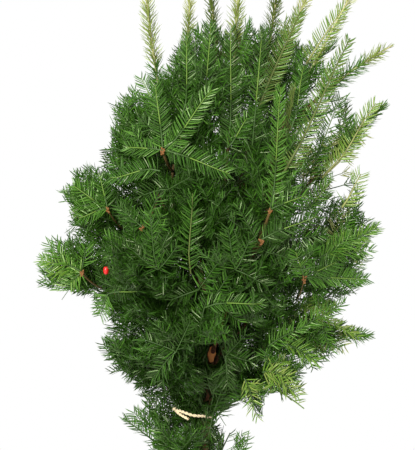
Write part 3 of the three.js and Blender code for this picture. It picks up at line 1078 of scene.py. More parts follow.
@dataclass(frozen=True)
class ArilFinish:
    """A ripe yew aril: a soft, juicy cup with a thin glossy skin, which lets some light through."""

    skin: str = "#c8201c"
    roughness: float = 0.28

    def make(self) -> bpy.types.Material:
        """Make the material."""
        settings = {
            "Base Color": linear(self.skin),
            "Roughness": self.roughness,
            "IOR": 1.4,
            "Subsurface Weight": 0.15,
            "Coat Weight": 0.3,
        }
        return surface("aril_skin", settings)[0]


# The plant's pieces


@dataclass
class Wood:
    """The main stem, its pruned stub and the boughs, with the relief of their bark."""

    growth: Growth
    stem_sides: int = 40
    stem_rings: int = 220
    bough_sides: int = 10
    bough_rings: int = 36
    stub_sides: int = 20
    stub_rings: int = 24
    cut_long: float = 0.96
    cut_wide: float = 0.84
    cut_rise: float = 0.65
    cut_rings: tuple[tuple[float, float], ...] = ((1.0, 0.15), (0.7, 0.5), (0.35, 0.62))
    relief: float = 0.07
    flake_run: float = 26.0
    ridges: int = 9
    ridge_turns: tuple[int, int] = (2, 7)
    ridge_runs: tuple[float, float] = (0.6, 1.8)
    seeds: tuple[int, int, int] = (11, 23, 41)

    def _rough(
        self, seed: int, length: float, base: Callable[[Array, Array], Array]
    ) -> Callable[[Array, Array], Array]:
        """Give a radius rule the bark's long low ridges.

        Args:
            seed: Which ridges they are.
            length: The limb's length.
            base: The smooth radius rule.

        Returns:
            The radius rule with ridges.
        """
        draw = Seeded(seed)
        (fewest, more), (slowest, faster) = self.ridge_turns, self.ridge_runs
        waves = [
            (fewest + int(more * draw()), (slowest + faster * draw()) * length / self.flake_run, 6.3 * draw())
            for _ in range(self.ridges)
        ]

        def radius(share: Array, angle: Array) -> Array:
            """Give the rough radius."""
            ridges = sum(
                np.sin(turns * angle + phase) * np.sin(runs * share * 2 * math.pi / 3 + phase * 1.7)
                for turns, runs, phase in waves
            )
            return base(share, angle) * (1 + self.relief * ridges / 3)

        return radius

    def _add_stub(self, parts: MeshParts) -> None:
        """Add the pruned stub, with a slanting cut that shows its orange-brown wood."""
        plan = self.growth.plan
        foot = self.growth.stem.point(self.growth.share_at(plan.stub_height))
        way, cut = unit(plan.stub_way), unit(plan.stub_cut)
        end = foot + way * plan.stub_length
        whole = Curve(foot, end + way * plan.stub_length)
        rule = self._rough(self.seeds[1], whole.length, tapering(plan.stub_radius, 0.0))
        corners, faces = tube(whole, self.stub_sides, self.stub_rings, rule)
        past = np.maximum((corners - end) @ cut, 0) / float(way @ cut)
        corners = corners - way * past[:, None]
        sides, bark, wood = self.stub_sides, 0, 1
        shades = np.full(len(faces), bark)
        shades[-(sides - 2) :] = wood
        parts.add(corners, faces, shades)
        # The cut's wood is drawn again as a domed disc inside the bark's rim
        beside = unit(np.cross(way, cut))
        long = np.cross(cut, beside)
        rim = plan.stub_radius * self.cut_long
        angles = round_angles(sides)[:, None]
        disc = [end + cut * self.cut_rise]
        for share, rise in self.cut_rings:
            across = beside * np.cos(angles) * rim * self.cut_wide * share
            disc.extend(end + cut * rise + across + long * np.sin(angles) * rim * share / float(way @ cut))
        inmost = 1 + (len(self.cut_rings) - 1) * sides
        tris = [(0, inmost + k, inmost + (k + 1) % sides) for k in range(sides)]
        for a in range(1, inmost, sides):
            b = a + sides
            for k in range(sides):
                after = (k + 1) % sides
                tris += [(a + k, a + after, b + after), (a + k, b + after, b + k)]
        parts.add(np.array(disc), np.array(tris), wood)

    def make(self) -> list[bpy.types.Object]:
        """Make the limbs' mesh.

        Returns:
            The one piece.
        """
        plan, growth = self.growth.plan, self.growth
        parts = MeshParts()
        stem = self._rough(self.seeds[0], growth.stem.length, plan.stem_radius)
        parts.add(*tube(growth.stem, self.stem_sides, self.stem_rings, stem))
        self._add_stub(parts)
        nodes = ["main_stem"]
        for index, mass in enumerate(plan.masses):
            if not mass.bough:
                continue
            nodes.append(mass.bough)
            curve, root = growth.bough_curve(index), growth.bough_root_radius(index)
            loss = plan.bough_tip_radius - root
            taper = self._rough(
                self.seeds[2] + index, curve.length, lambda s, a, r=root, w=loss: r + w * s + 0 * a
            )
            parts.add(*tube(curve, self.bough_sides, self.bough_rings, taper))
        piece = parts.build("stem_and_boughs", [BarkFinish().make(), CutWoodFinish().make()], smooth=True)
        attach(piece, BODY)
        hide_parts(*nodes)
        log.info("stem and boughs: %d triangles", parts.triangles)
        return [piece]


@dataclass
class Twig:
    """One twig that bears needles."""

    curve: Curve
    facing: Array
    mass: int
    order: int
    thick: float
    bare: float
    shade: int
    needle: float
    radial: bool = False
    shown: bool = False
    loose: bool = True
    rib: Rind | None = None


@dataclass(frozen=True)
class Fan:
    """Long shoots that the plant's front shows, spread like a fan from one node.

    It is told by the mass it grows on, where on its stem, its node and its shoots' tips, in millimetres.
    """

    mass: str
    along: float
    node: tuple[float, float, float]
    tips: tuple[tuple[float, float, float], ...]
    bud: bool = False
    # Steps of painted light added to its shoots' green, for shoots that stand lit at the front
    painted_light_steps: int = 0
    # Its own green, if it has one; the pale ones are partly painted light
    green: Green | None = None
    loose: bool = False
    old: float = 2.4
    rib: Rind | None = None


FANS = (
    Fan(
        "front_fan",
        0.1,
        (-55, -168, 662),
        ((19, -158, 753), (45, -184, 626), (-67, -142, 762), (-112, -124, 669)),
        bud=True,
        painted_light_steps=1,
    ),
    Fan("front_fan", 0.04, (-59, -166, 631), ((-137, -120, 622),), painted_light_steps=1),
    Fan("front_fan", 0.04, (-47, -160, 603), ((-11, -180, 623), (-90, -150, 594)), loose=True),
    Fan("left_leader", 0.02, (-60, -120, 722), ((-91, -92, 777),), painted_light_steps=1),
    Fan("front_leader", 0.02, (42, -132, 667), ((48, -104, 853), (72, -136, 712)), painted_light_steps=1),
    Fan("left_leader", 0.04, (-27, -140, 712), ((-18, -100, 844),), loose=True, rib=Rind.NEW),
    Fan("front_leader", 0.02, (8, -150, 720), ((17, -100, 859),), loose=True, rib=Rind.NEW),
    Fan("mid_leader", 0.02, (80, -130, 670), ((95, -122, 841),), loose=True, rib=Rind.NEW),
    Fan(
        "front_right",
        0.02,
        (106, -156, 573),
        ((124, -126, 760), (161, -150, 595)),
        bud=True,
        painted_light_steps=1,
        old=2.8,
        loose=True,
        rib=Rind.NEW,
    ),
    Fan("front_right", 0.01, (93, -170, 528), ((180, -130, 564),), bud=True, old=2.8),
    Fan("front_right", 0.01, (100, -150, 509), ((55, -176, 580), (152, -140, 494)), loose=True),
    Fan("slant_leader", 0.02, (128, -138, 630), ((234, -70, 841),), green=Green.OLIVE),
    Fan("mid_leader", 0.05, (139, -124, 695), ((161, -86, 796),)),
    Fan("mid_leader", 0.05, (91, -116, 729), ((157, -60, 883),), green=Green.OLIVE),
    Fan("front_mid_left", 0.42, (-13, -170, 477), ((-10, -188, 597),), loose=True, rib=Rind.OCHRE),
    Fan("front_mid_left", 0.42, (-2, -160, 452), ((28, -184, 495), (-44, -160, 437)), loose=True),
    Fan(
        "front_mid_left",
        0.5,
        (-62, -172, 483),
        ((-74, -182, 569), (-108, -150, 518), (-32, -186, 519)),
        loose=True,
    ),
    Fan("front_mid_right", 0.4, (7, -168, 426), ((93, -184, 433),), painted_light_steps=1),
    Fan("front_mid_right", 0.4, (19, -160, 437), ((43, -176, 474), (61, -160, 404)), loose=True),
    Fan(
        "front_mid_right",
        0.6,
        (54, -180, 483),
        ((102, -184, 459), (42, -186, 546), (75, -186, 528)),
        loose=True,
    ),
    Fan(
        "left_upper",
        0.1,
        (-86, -158, 547),
        ((-126, -120, 579), (-62, -176, 593)),
        bud=True,
        loose=True,
        old=1.4,
    ),
    Fan(
        "left_mid",
        0.4,
        (-143, -72, 575),
        ((-197, -62, 611), (-188, -74, 561), (-156, -66, 626)),
        bud=True,
        old=1.4,
    ),
    Fan(
        "left_low",
        0.5,
        (-182, -84, 477),
        ((-248, -60, 495), (-222, -74, 447)),
        bud=True,
        green=Green.BRIGHT,
        old=1.7,
    ),
    Fan(
        "left_low",
        0.5,
        (-183, -80, 479),
        ((-177, -78, 514), (-214, -80, 434), (-237, -60, 520)),
        painted_light_steps=1,
        loose=True,
    ),
    Fan("left_lower", 0.5, (-141, -104, 444), ((-93, -150, 450), (-155, -70, 408))),
    Fan(
        "right_low",
        0.4,
        (159, -132, 470),
        ((209, -110, 493), (261, -78, 466), (145, -150, 509)),
        bud=True,
        painted_light_steps=1,
        old=1.2,
    ),
    Fan("right_mid", 0.5, (188, -104, 502), ((277, -58, 545),), green=Green.BRIGHT, loose=True),
    Fan(
        "right_mid",
        0.5,
        (182, -104, 499),
        ((268, -72, 511), (233, -84, 533)),
        green=Green.FRESH,
        loose=True,
    ),
    Fan("right_mid", 0.7, (222, -60, 577), ((253, -50, 630),), green=Green.LIGHT),
    Fan("right_low", 0.2, (151, -100, 388), ((227, -76, 430),), green=Green.FRESH, loose=True),
    Fan("right_lower", 0.1, (104, -120, 365), ((160, -112, 395),), green=Green.FRESH, loose=True),
    Fan("right_lower", 0.2, (124, -100, 367), ((183, -84, 338),), green=Green.BRIGHT, loose=True),
    Fan("right_foot", 0.2, (68, -104, 315), ((89, -88, 253),), green=Green.LIGHT, loose=True),
    Fan(
        "right_foot",
        0.3,
        (96, -90, 323),
        ((155, -80, 285), (140, -84, 316)),
        green=Green.LIGHT,
        loose=True,
    ),
    Fan(
        "left_lower",
        0.4,
        (-106, 0, 356),
        ((-141, 10, 389), (-116, 20, 403), (-86, -10, 395), (-137, 40, 363)),
        loose=True,
    ),
    Fan(
        "left_lower",
        0.4,
        (-105, 50, 356),
        ((-131, 60, 394), (-98, 50, 405), (-79, 70, 377), (-144, 60, 345)),
        loose=True,
    ),
    Fan(
        "right_lower",
        0.05,
        (98, -30, 352),
        ((135, -30, 392), (159, -20, 359), (119, -30, 324), (98, -50, 401)),
        loose=True,
    ),
    Fan(
        "right_lower",
        0.1,
        (110, 40, 355),
        ((146, 40, 392), (156, 50, 346), (101, 60, 378), (129, 30, 322)),
        loose=True,
    ),
    Fan(
        "front_low",
        0.5,
        (-35, -166, 360),
        ((-90, -150, 380), (-72, -130, 317), (-14, -176, 405)),
        loose=True,
    ),
    Fan("front_low", 0.2, (40, -112, 349), ((71, -124, 384), (80, -116, 341), (43, -104, 303)), loose=True),
    Fan("slant_leader", 0.4, (167, -46, 803), ((225, -48, 891),), green=Green.LIGHT),
    Fan("foot_front", 0.3, (22, -52, 260), ((36, -60, 298), (41, -60, 236), (13, -66, 218)), loose=True),
    Fan("front_low", 0.02, (19, -70, 287), ((8, -84, 329), (34, -80, 325)), loose=True),
    Fan("right_upper", 0.3, (192, -44, 624), ((228, -52, 664), (277, -40, 742)), green=Green.LIGHT),
    Fan("right_upper", 0.2, (166, -60, 623), ((222, -48, 751),), green=Green.FRESH),
    Fan("right_mid", 0.3, (155, -80, 567), ((210, -60, 623),), painted_light_steps=2),
    Fan(
        "foot_right",
        0.5,
        (62, -8, 183),
        ((67, -14, 224), (77, -4, 207), (54, -2, 209)),
        green=Green.FRESH,
        loose=True,
    ),
    Fan("foot_left", 0.1, (-39, 16, 214), ((-80, 8, 272), (-55, 24, 293), (-23, 30, 283), (-64, 0, 248))),
    Fan("foot_left", 0.3, (-22, 4, 225), ((-45, -8, 274), (-6, 10, 275), (-32, -14, 252))),
    Fan("left_lower", 0.05, (-51, -20, 285), ((-79, -16, 297), (-44, -30, 314), (-70, -14, 268))),
    Fan("front_low", 0.05, (45, -92, 320), ((30, -88, 369), (51, -96, 367)), loose=True),
)


# Of ten needles on a shoot of the first green, this many take the other one
MIXED = {Green.LIGHT: (Green.BRIGHT, 6), Green.BRIGHT: (Green.FRESH, 4), Green.OLIVE: (Green.FRESH, 4)}
# A needle's triangles, by its 8 corners
NEEDLE_FACES = np.array(
    [[0, 2, 1], [0, 3, 2], [1, 2, 5], [1, 5, 4], [2, 3, 6], [2, 6, 5], [4, 5, 7], [5, 6, 7]]
)
# How thick a fan's shoots are by their green or their rib, in millimetres
FAN_THICK: dict[Green | Rind | None, float] = {Green.OLIVE: 2.3, Green.LIGHT: 1.8, Rind.OCHRE: 1.5}


@dataclass(frozen=True)
class ShadeRule:
    """How a spray's green follows from its place, from 0 for the crown's inside up to the palest.

    The crown pales upwards and outwards, partly as its outer needles are younger and partly as painted
    light, with painted shade on its inside. It pales more towards its outline, most of all at the right, and
    on the far left, the low right and the foot: painted light there. Sizes are in millimetres.
    """

    foot: float = 250
    rise: float = 600
    reach: tuple[float, float] = (260, 220)
    start: float = 0.3
    upwards: float = 1.1
    upwards_power: float = 1.5
    outwards: float = 0.8
    play: float = 2.2
    left_edge_painted_light: float = 1.5
    right_edge_painted_light: float = 2.4
    far_left: float = -140
    far_left_painted_light: float = 0.9
    low_right: tuple[float, float] = (90, 430)
    low_right_painted_light: float = 1.5
    foot_painted_light: float = 1.4
    leader_more: float = 0.9
    palest: int = 6


@dataclass(frozen=True)
class InnerRule:
    """How many shoots stand on a limb inside the crown, how long they get, and which numbers they draw."""

    shoots: int
    longest: float
    seed: int
    seed_step: int
    plane_at: float = 0.5


@dataclass(frozen=True)
class StemRule:
    """What a mass's own stem and its shoots are like, in millimetres and shares."""

    leader_thick: float = 2.9
    leader_needle: float = 26.0
    leader_turn: float = 0.8
    thick: float = 2.3
    plane_at: float = 0.8
    needle: float = 23.0
    shoot_thick: float = 1.5
    shoot_bare: float = 0.1
    shoot_needle: float = 0.88
    shoot_needle_play: float = 0.2
    shade_at: float = 0.6


@dataclass(frozen=True)
class FanRule:
    """How a fan's shoots bend and what they bear, in millimetres and shares of a length."""

    needle: float = 25.0
    needle_least: float = 0.86
    needle_play: float = 0.2
    thick: float = 1.35
    loose_thick: float = 1.0
    bare: float = 0.03
    droop: float = 0.1
    last_rise: float = 4
    turn_play: float = 0.3
    look_up: float = 0.35
    steep: float = 0.5
    arch: float = 0.09
    sway: float = 0.16
    holds: tuple[float, float] = (0.3, 0.7)
    bend_back: float = 0.4
    shade_at: float = 0.6
    palest: int = 4
    side_longest: float = 46
    front: float = -30


@dataclass(frozen=True)
class SideRule:
    """How a shoot's finer twigs stand on it, left and right in turn.

    Angles are in degrees, sizes in millimetres and the others are shares.
    """

    gap: float = 23.0
    used: float = 0.68
    span: tuple[float, float] = (0.14, 0.78)
    place_play: float = 0.7
    angles: tuple[float, float] = (54, 40)
    angle_play: float = 12
    lift: float = 0.35
    lift_least: float = 0.4
    lengths: tuple[float, float] = (0.66, 0.4)
    length_least: float = 0.75
    length_play: float = 0.5
    longest: float = 82.0
    shortest: float = 20
    shrink: float = 0.8
    forwards: float = 0.2
    upwards: float = 0.06
    spare: float = -4.0
    shade_play: float = 1.4
    thick: float = 1.1
    bare: float = 0.06
    needle: float = 0.95


@dataclass(frozen=True)
class NeedleRule:
    """How needles stand on their twig and how each is shaped. Angles are in degrees, sizes in millimetres.

    On a flat spray they part to the left and the right, and on a leader they stand all round it. They open
    less towards the twig's tip, and get shorter.
    """

    flat_rows: int = 2
    round_rows: int = 5
    spacing: float = 3.5
    shown_spacing: float = 3.1
    fewest: int = 3
    last: float = 0.985
    place_play: float = 0.35
    calm: float = 0.4
    round_turn: float = 0.8
    round_play: float = 0.4
    round_open: tuple[float, float] = (64, 22)
    flat_open: tuple[float, float] = (66, 28)
    open_play: float = 14
    lift: tuple[float, float] = (4, 52)
    lift_power: float = 1.5
    tip_loss: float = 0.38
    length_play: tuple[float, float] = (-0.22, 0.1)
    width: float = 1.75
    ridge: float = 0.26
    roll: float = 0.9
    sag: tuple[float, float] = (-0.1, 0.06)
    sickle: tuple[float, float] = (0.0, 0.24)
    near: float = 0.18
    far: float = 0.74
    far_sag: float = 0.42
    far_width: float = 0.86


@dataclass(frozen=True)
class ScaleRule:
    """The small bud scales round a fan's node, in millimetres."""

    count: int = 9
    seed: int = 1000
    seed_step: int = 17
    forwards: tuple[float, float] = (0.3, 1.2)
    drop: float = 7
    inset: float = 1.5
    bend: float = 2.5
    length: tuple[float, float] = (4, 2.5)
    thick: tuple[float, float] = (0.3, 1.5)
    bulge: float = 0.8


@dataclass
class Foliage:
    """All twigs and needles, grown mass by mass."""

    growth: Growth
    fans: tuple[Fan, ...] = FANS
    shade_rule: ShadeRule = ShadeRule()
    stem_rule: StemRule = StemRule()
    fan_rule: FanRule = FanRule()
    side_rule: SideRule = SideRule()
    needle_rule: NeedleRule = NeedleRule()
    scale_rule: ScaleRule = ScaleRule()
    on_bough: InnerRule = InnerRule(shoots=7, longest=84, seed=701, seed_step=13, plane_at=0)
    on_bushy_bough: InnerRule = InnerRule(shoots=14, longest=84, seed=701, seed_step=13, plane_at=0)
    in_thicket: InnerRule = InnerRule(shoots=36, longest=96, seed=501, seed_step=19)
    at_foot: InnerRule = InnerRule(shoots=12, longest=84, seed=301, seed_step=17)
    bough_span: tuple[float, float] = (0.3, 1.0)
    foot_height: float = 150
    foot_step: float = 40
    foot_span: float = 0.12
    bushy: tuple[str, ...] = ("right_lower", "right_foot", "left_lower", "right_low", "back_low")
    thickets: dict[str, tuple[float, float]] = field(
        default_factory=lambda: {"left_lower": (195, 290), "back_low": (205, 300), "front_low": (225, 320)}
    )
    brushes: tuple[str, ...] = ("right_upper", "right_mid", "right_lower")
    dark_leaders: tuple[str, ...] = ("top_leader", "mid_leader", "front_right")
    pale_from: tuple[float, float, float] = (800, 890, 945)
    new_from: float = 425
    straw_from: float = 770
    clear_beside: float = 8.0
    clear_behind: float = 3
    outline_spare: float = 20.0
    piece_limit: int = 190_000
    twig_seed: int = 9001
    twig_seed_step: int = 31
    needle_seed: int = 20
    old_taper: float = 0.2
    taper: float = 0.6
    green_until: float = 0.4
    own_sides: int = 5
    side_sides: int = 3

    def _shade(self, place: Array, kind: Kind, draw: Seeded) -> int:
        """Choose a spray's green from where it stands.

        Args:
            place: The spray's middle.
            kind: The kind of its mass.
            draw: The mass's row of seeded numbers.

        Returns:
            The number of one of the greens.
        """
        rule = self.shade_rule
        height = float(np.clip((place[2] - rule.foot) / rule.rise, 0, 1))
        left, right = self.growth.half_widths(float(place[2]))
        edge = float(np.clip(place[0] / right if place[0] > 0 else -place[0] / left, 0, 1))
        out = float(np.clip(np.hypot(place[0] / rule.reach[0], place[1] / rule.reach[1]), 0, 1))
        # Paler up and out: younger needles, with painted light outside and painted shade inside
        value = rule.start + rule.upwards * height**rule.upwards_power + rule.outwards * out**2
        value += draw.swing(rule.play)
        # Painted light towards the outline, most of all at the right
        value += (rule.right_edge_painted_light if place[0] > 0 else rule.left_edge_painted_light) * edge**3
        # Painted light on the far left, the low right and the foot
        if place[0] < rule.far_left:
            value += rule.far_left_painted_light
        if place[0] > rule.low_right[0] and place[2] < rule.low_right[1]:
            value += rule.low_right_painted_light
        if kind is Kind.FOOT:
            value += rule.foot_painted_light
        if kind is Kind.LEADER:
            value += rule.leader_more
        return int(np.clip(round(value), 0, rule.palest))

    def _inner_shoots(self, index: int, mass: Mass) -> list[tuple[Curve, Array]]:
        """Grow a mass's shoots on its bough, and on the stem in a low thicket or at the stem's foot.

        Args:
            index: The number of the mass.
            mass: The mass.

        Returns:
            Each shoot's curve and the direction that its needles' plane faces.
        """
        stem, share_at = self.growth.stem, self.growth.share_at
        limbs: list[tuple[InnerRule, Curve, tuple[float, float]]] = []
        if mass.bough:
            rule = self.on_bushy_bough if mass.name in self.bushy else self.on_bough
            limbs.append((rule, self.growth.bough_curve(index), self.bough_span))
        if mass.name in self.thickets:
            low, high = self.thickets[mass.name]
            limbs.append((self.in_thicket, stem, (share_at(low), share_at(high))))
        if mass.kind is Kind.FOOT:
            low = share_at(self.foot_height + self.foot_step * index)
            limbs.append((self.at_foot, stem, (low, low + self.foot_span)))
        found = []
        for rule, limb, span in limbs:
            seed = rule.seed + rule.seed_step * index
            for curve in self.growth.limb_shoots(limb, rule.shoots, span, rule.longest, seed):
                found.append((curve, self.growth.facing(curve.point(rule.plane_at), curve.way(0.5), 0.0)))
        return found

    def grow(self) -> list[Twig]:
        """Grow every mass's own stem, side shoots and finer twigs.

        Returns:
            All twigs.
        """
        twigs: list[Twig] = []
        rule = self.stem_rule
        for index, mass in enumerate(self.growth.plan.masses):
            axis = self.growth.axis_curve(index)
            draw = Seeded(self.twig_seed + self.twig_seed_step * index)
            own = self._own_stem(index, mass, axis, draw)
            twigs.append(own)
            if mass.kind is not Kind.LEADER:
                twigs += self._side_twigs(own, draw)
            shoots = [
                found
                for lap in range(round(HABITS[mass.kind].laps * mass.fullness))
                for found in self.growth.shoots(index, axis, lap)
            ]
            for curve, plane in shoots + self._inner_shoots(index, mass):
                shade = self._shade(curve.point(rule.shade_at), mass.kind, draw)
                needle = rule.needle * (rule.shoot_needle + rule.shoot_needle_play * draw())
                shoot = Twig(curve, plane, index, 1, rule.shoot_thick, rule.shoot_bare, shade, needle)
                twigs.append(shoot)
                twigs += self._side_twigs(shoot, draw)
            for fan in self.fans:
                if fan.mass == mass.name:
                    twigs += self._fan_twigs(index, axis, fan, draw)
        shown = self._shown_points(twigs)
        return [
            twig for twig in twigs if twig.shown or not self._hides(twig.curve.at([0.4, 1.0]), shown).any()
        ]

    def _shown_points(self, twigs: Sequence[Twig]) -> Array:
        """Give points along the shown shoots, as rows."""
        return np.concatenate([twig.curve.at(np.linspace(0, 1, 16)) for twig in twigs if twig.shown])

    def _hides(self, points: Array, shown: Array) -> NDArray[np.bool_]:
        """Tell which points stand in front of a shown shoot.

        Args:
            points: The points, as rows.
            shown: Points along the shown shoots, as rows.

        Returns:
            One truth value for each point.
        """
        apart = points[:, None, :] - shown[None, :, :]
        beside = np.hypot(apart[:, :, 0], apart[:, :, 2])
        return ((beside < self.clear_beside) & (apart[:, :, 1] < self.clear_behind)).any(axis=1)

    def _own_stem(self, index: int, mass: Mass, axis: Curve, draw: Seeded) -> Twig:
        """Describe a mass's own stem as a twig.

        Args:
            index: The number of the mass.
            mass: The mass.
            axis: Its own stem.
            draw: Its row of seeded numbers.

        Returns:
            The twig: one with needles all round it in a leader or a brush, and a flat one in the others.
        """
        rule, bare = self.stem_rule, HABITS[mass.kind].bare
        hand = 1 if index % 2 else -1
        way = axis.way(rule.plane_at)
        if mass.kind is Kind.LEADER or mass.name in self.brushes:
            facing, shade = square_to([hand * rule.leader_turn, -1, 0], way), self.shade_rule.palest
            thick, needle = rule.leader_thick, rule.leader_needle
            return Twig(axis, facing, index, 0, thick, bare, shade, needle, radial=True)
        facing = self.growth.facing(axis.point(1), way, hand * self.growth.plan.facing_roll)
        shade = self._shade(axis.point(rule.plane_at), mass.kind, draw)
        return Twig(axis, facing, index, 0, rule.thick, bare, shade, rule.needle)

    def _fan_twigs(self, index: int, axis: Curve, fan: Fan, draw: Seeded) -> list[Twig]:
        """Grow a fan: a bare brown twig to its node, then its shoots.

        Args:
            index: The number of the fan's mass.
            axis: The mass's own stem.
            fan: The fan.
            draw: The mass's row of seeded numbers.

        Returns:
            The fan's twigs.
        """
        rule = self.fan_rule
        start, node = axis.point(fan.along), np.array(fan.node, dtype=float)
        droop = UP * rule.droop * float(np.linalg.norm(node - start))
        old = Curve(start, (start + node) / 2 - droop, node - UP * rule.last_rise, node)
        made = [Twig(old, -BACK, index, 1, fan.old, 1.0, 0, self.stem_rule.needle, shown=fan.bud)]
        for place in fan.tips:
            tip = np.array(place, dtype=float)
            reach = tip - node
            way = unit(reach)
            facing = square_to([draw.swing(rule.turn_play), -1.0, rule.look_up], way)
            arch = UP * (1 if way[2] < rule.steep else -1) * rule.arch
            bend = (arch + np.cross(facing, way) * rule.sway * draw.swing(1)) * float(np.linalg.norm(reach))
            low, high = node + reach * rule.holds[0], node + reach * rule.holds[1]
            curve = Curve(node, low + bend, high - bend * rule.bend_back * draw(), tip)
            shade = self._shade(curve.point(rule.shade_at), Kind.SPRAY, draw)
            # A fan's own green, or its place's green made paler by its steps of painted light
            shade = number_of(fan.green) if fan.green else min(shade + fan.painted_light_steps, rule.palest)
            needle = rule.needle * (rule.needle_least + rule.needle_play * draw())
            thick = FAN_THICK.get(fan.rib or fan.green, rule.thick)
            if fan.loose and not fan.rib:
                thick = rule.loose_thick
            looks = {"shown": fan.node[1] < rule.front, "loose": fan.loose, "rib": fan.rib}
            shoot = Twig(curve, facing, index, 1, thick, rule.bare, shade, needle, **looks)
            made.append(shoot)
            made += [twig for twig in self._side_twigs(shoot, draw) if twig.curve.length < rule.side_longest]
        return made

    def _side_twigs(self, shoot: Twig, draw: Seeded) -> list[Twig]:
        """Grow the finer twigs of a shoot, left and right in the plane of its needles.

        Args:
            shoot: The shoot.
            draw: The mass's row of seeded numbers.

        Returns:
            The finer twigs.
        """
        made: list[Twig] = []
        rule, palest = self.side_rule, self.shade_rule.palest
        count = int(shoot.curve.length * rule.used / rule.gap)
        for k in range(count):
            along = mix(*rule.span, (k + rule.place_play * draw()) / max(count, 1))
            start, heading = shoot.curve.point(along), shoot.curve.way(along)
            side = np.cross(heading, square_to(shoot.facing, heading)) * (1 if k % 2 else -1)
            angle = math.radians(mix(*rule.angles, along) + draw.swing(rule.angle_play))
            way = heading * math.cos(angle) + side * math.sin(angle)
            way = unit(way + shoot.facing * rule.lift * (draw() - rule.lift_least))
            length = shoot.curve.length * mix(*rule.lengths, along)
            length = min(length * (rule.length_least + rule.length_play * draw()), rule.longest)
            while length >= rule.shortest:
                last = unit(way + heading * rule.forwards + UP * rule.upwards)
                curve = Curve(start, start + way * length * 0.5, start + last * length)
                points = curve.at([0.6, 1.0])
                fits = self.growth.allows(points, rule.spare).all()
                if fits and (self.growth.inside_space(points, shoot.mass) > rule.spare).all():
                    shade, step = shoot.shade, round(draw.swing(rule.shade_play))
                    if shade <= palest:
                        shade = int(np.clip(shade + step, 0, palest))
                    sizes = {"thick": rule.thick, "bare": rule.bare, "needle": shoot.needle * rule.needle}
                    made.append(Twig(curve, shoot.facing, shoot.mass, order=2, shade=shade, **sizes))
                    break
                length *= rule.shrink
        return made

    def _needles(self, twig: Twig, draw: np.random.Generator) -> tuple[Array, Array, Array, Array, Array]:
        """Place a twig's needles.

        Args:
            twig: The twig.
            draw: The source of seeded numbers.

        Returns:
            Each needle's foot, direction, face direction, length, and the twig's direction at its foot.
        """
        rule = self.needle_rule
        reach = twig.curve.length * (1 - twig.bare)
        rows = rule.round_rows if twig.radial else rule.flat_rows
        spacing = rule.shown_spacing if twig.radial or twig.shown else rule.spacing
        count = max(rule.fewest, int(reach / spacing))
        share = np.repeat(mix(twig.bare, rule.last, (np.arange(count) + 0.5) / count), rows)
        play = draw.uniform(-rule.place_play, rule.place_play, share.size) / count
        share = np.clip(share + play, twig.bare, 1)
        foot, heading = twig.curve.at(share), twig.curve.heading(share)
        normal = square_to(twig.facing, heading)
        across = np.cross(heading, normal)
        number = np.tile(np.arange(rows), count)
        loose = 1.0 if twig.loose else rule.calm
        if twig.radial:
            around = number * math.tau / rows + np.repeat(np.arange(count), rows) * rule.round_turn
            around += draw.uniform(-rule.round_play, rule.round_play, share.size)
            side = across * np.cos(around)[:, None] + normal * np.sin(around)[:, None]
            wide, less = rule.round_open
            play = draw.uniform(-rule.open_play, rule.open_play, share.size)
            opened = np.radians(wide - less * share + play)
        else:
            least, more = rule.lift
            lift = np.radians(least + more * loose * draw.uniform(0, 1, share.size) ** rule.lift_power)
            draw.random(share.size)  # this row of numbers has no use, and the rows after it depend on it
            side = across * (np.where(number % 2, 1, -1) * np.cos(lift))[:, None]
            side = side + normal * np.sin(lift)[:, None]
            wide, less = rule.flat_open
            play = draw.uniform(-rule.open_play, rule.open_play, share.size) * loose
            opened = np.radians(wide - less * share**3 + play)
        way = unit(heading * np.cos(opened)[:, None] + side * np.sin(opened)[:, None])
        face = square_to(heading if twig.radial else normal, way)
        length = twig.needle * (1 - rule.tip_loss * share**4)
        length = length * (1 + draw.uniform(*rule.length_play, share.size) * loose)
        return foot, way, face, length, heading

    def make(self) -> list[bpy.types.Object]:
        """Make the twigs' and the needles' meshes.

        Returns:
            The pieces.
        """
        twigs = self.grow()
        shown = self._shown_points(twigs)
        greens = [NeedleFinish(green).make() for green in Green]
        rinds = [RindFinish(rind).make() for rind in Rind]
        draw = np.random.default_rng(self.needle_seed)
        pieces: list[bpy.types.Object] = []
        stock = MeshParts()
        needles, held = MeshParts(), set()
        total = 0
        for index in range(len(self.growth.plan.masses)):
            own = [twig for twig in twigs if twig.mass == index]
            for twig in own:
                self._add_twig(stock, twig)
            feet, ways, faces, lengths, leans, shades = [], [], [], [], [], []
            for twig in own:
                if twig.bare == 1:
                    continue
                foot, way, face, length, lean = self._needles(twig, draw)
                tips = foot + way * length[:, None]
                keep = self.growth.inside_crown(tips, self.outline_spare)
                if not twig.shown:
                    keep &= ~self._hides(foot + way * (0.6 * length)[:, None], shown)
                keep &= self.growth.clear(tips) & self.growth.clear((foot + tips) / 2)
                feet.append(foot[keep])
                ways.append(way[keep])
                faces.append(face[keep])
                lengths.append(length[keep])
                leans.append(lean[keep])
                shades.append(self._needle_shades(twig, foot[keep]))
            rows = [np.concatenate(row) for row in (feet, ways, faces, lengths, leans)]
            corners, triangles = self._needle_mesh(*rows, draw)
            if needles.triangles + len(triangles) > self.piece_limit:
                pieces.append(self._finish_needles(needles, held, greens, len(pieces)))
                needles, held = MeshParts(), set()
            needles.add(corners, triangles, np.tile(np.concatenate(shades), len(NEEDLE_FACES)))
            held.add(index)
            total += len(triangles)
        pieces.append(self._finish_needles(needles, held, greens, len(pieces)))
        wood = stock.build("twigs", rinds, smooth=True)
        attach(wood, BODY)
        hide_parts(*[mass.node for mass in self.growth.plan.masses])
        log.info("twigs: %d of them, %d triangles", len(twigs), stock.triangles)
        log.info("needles: %d triangles in %d pieces", total, len(pieces))
        return [*pieces, wood]

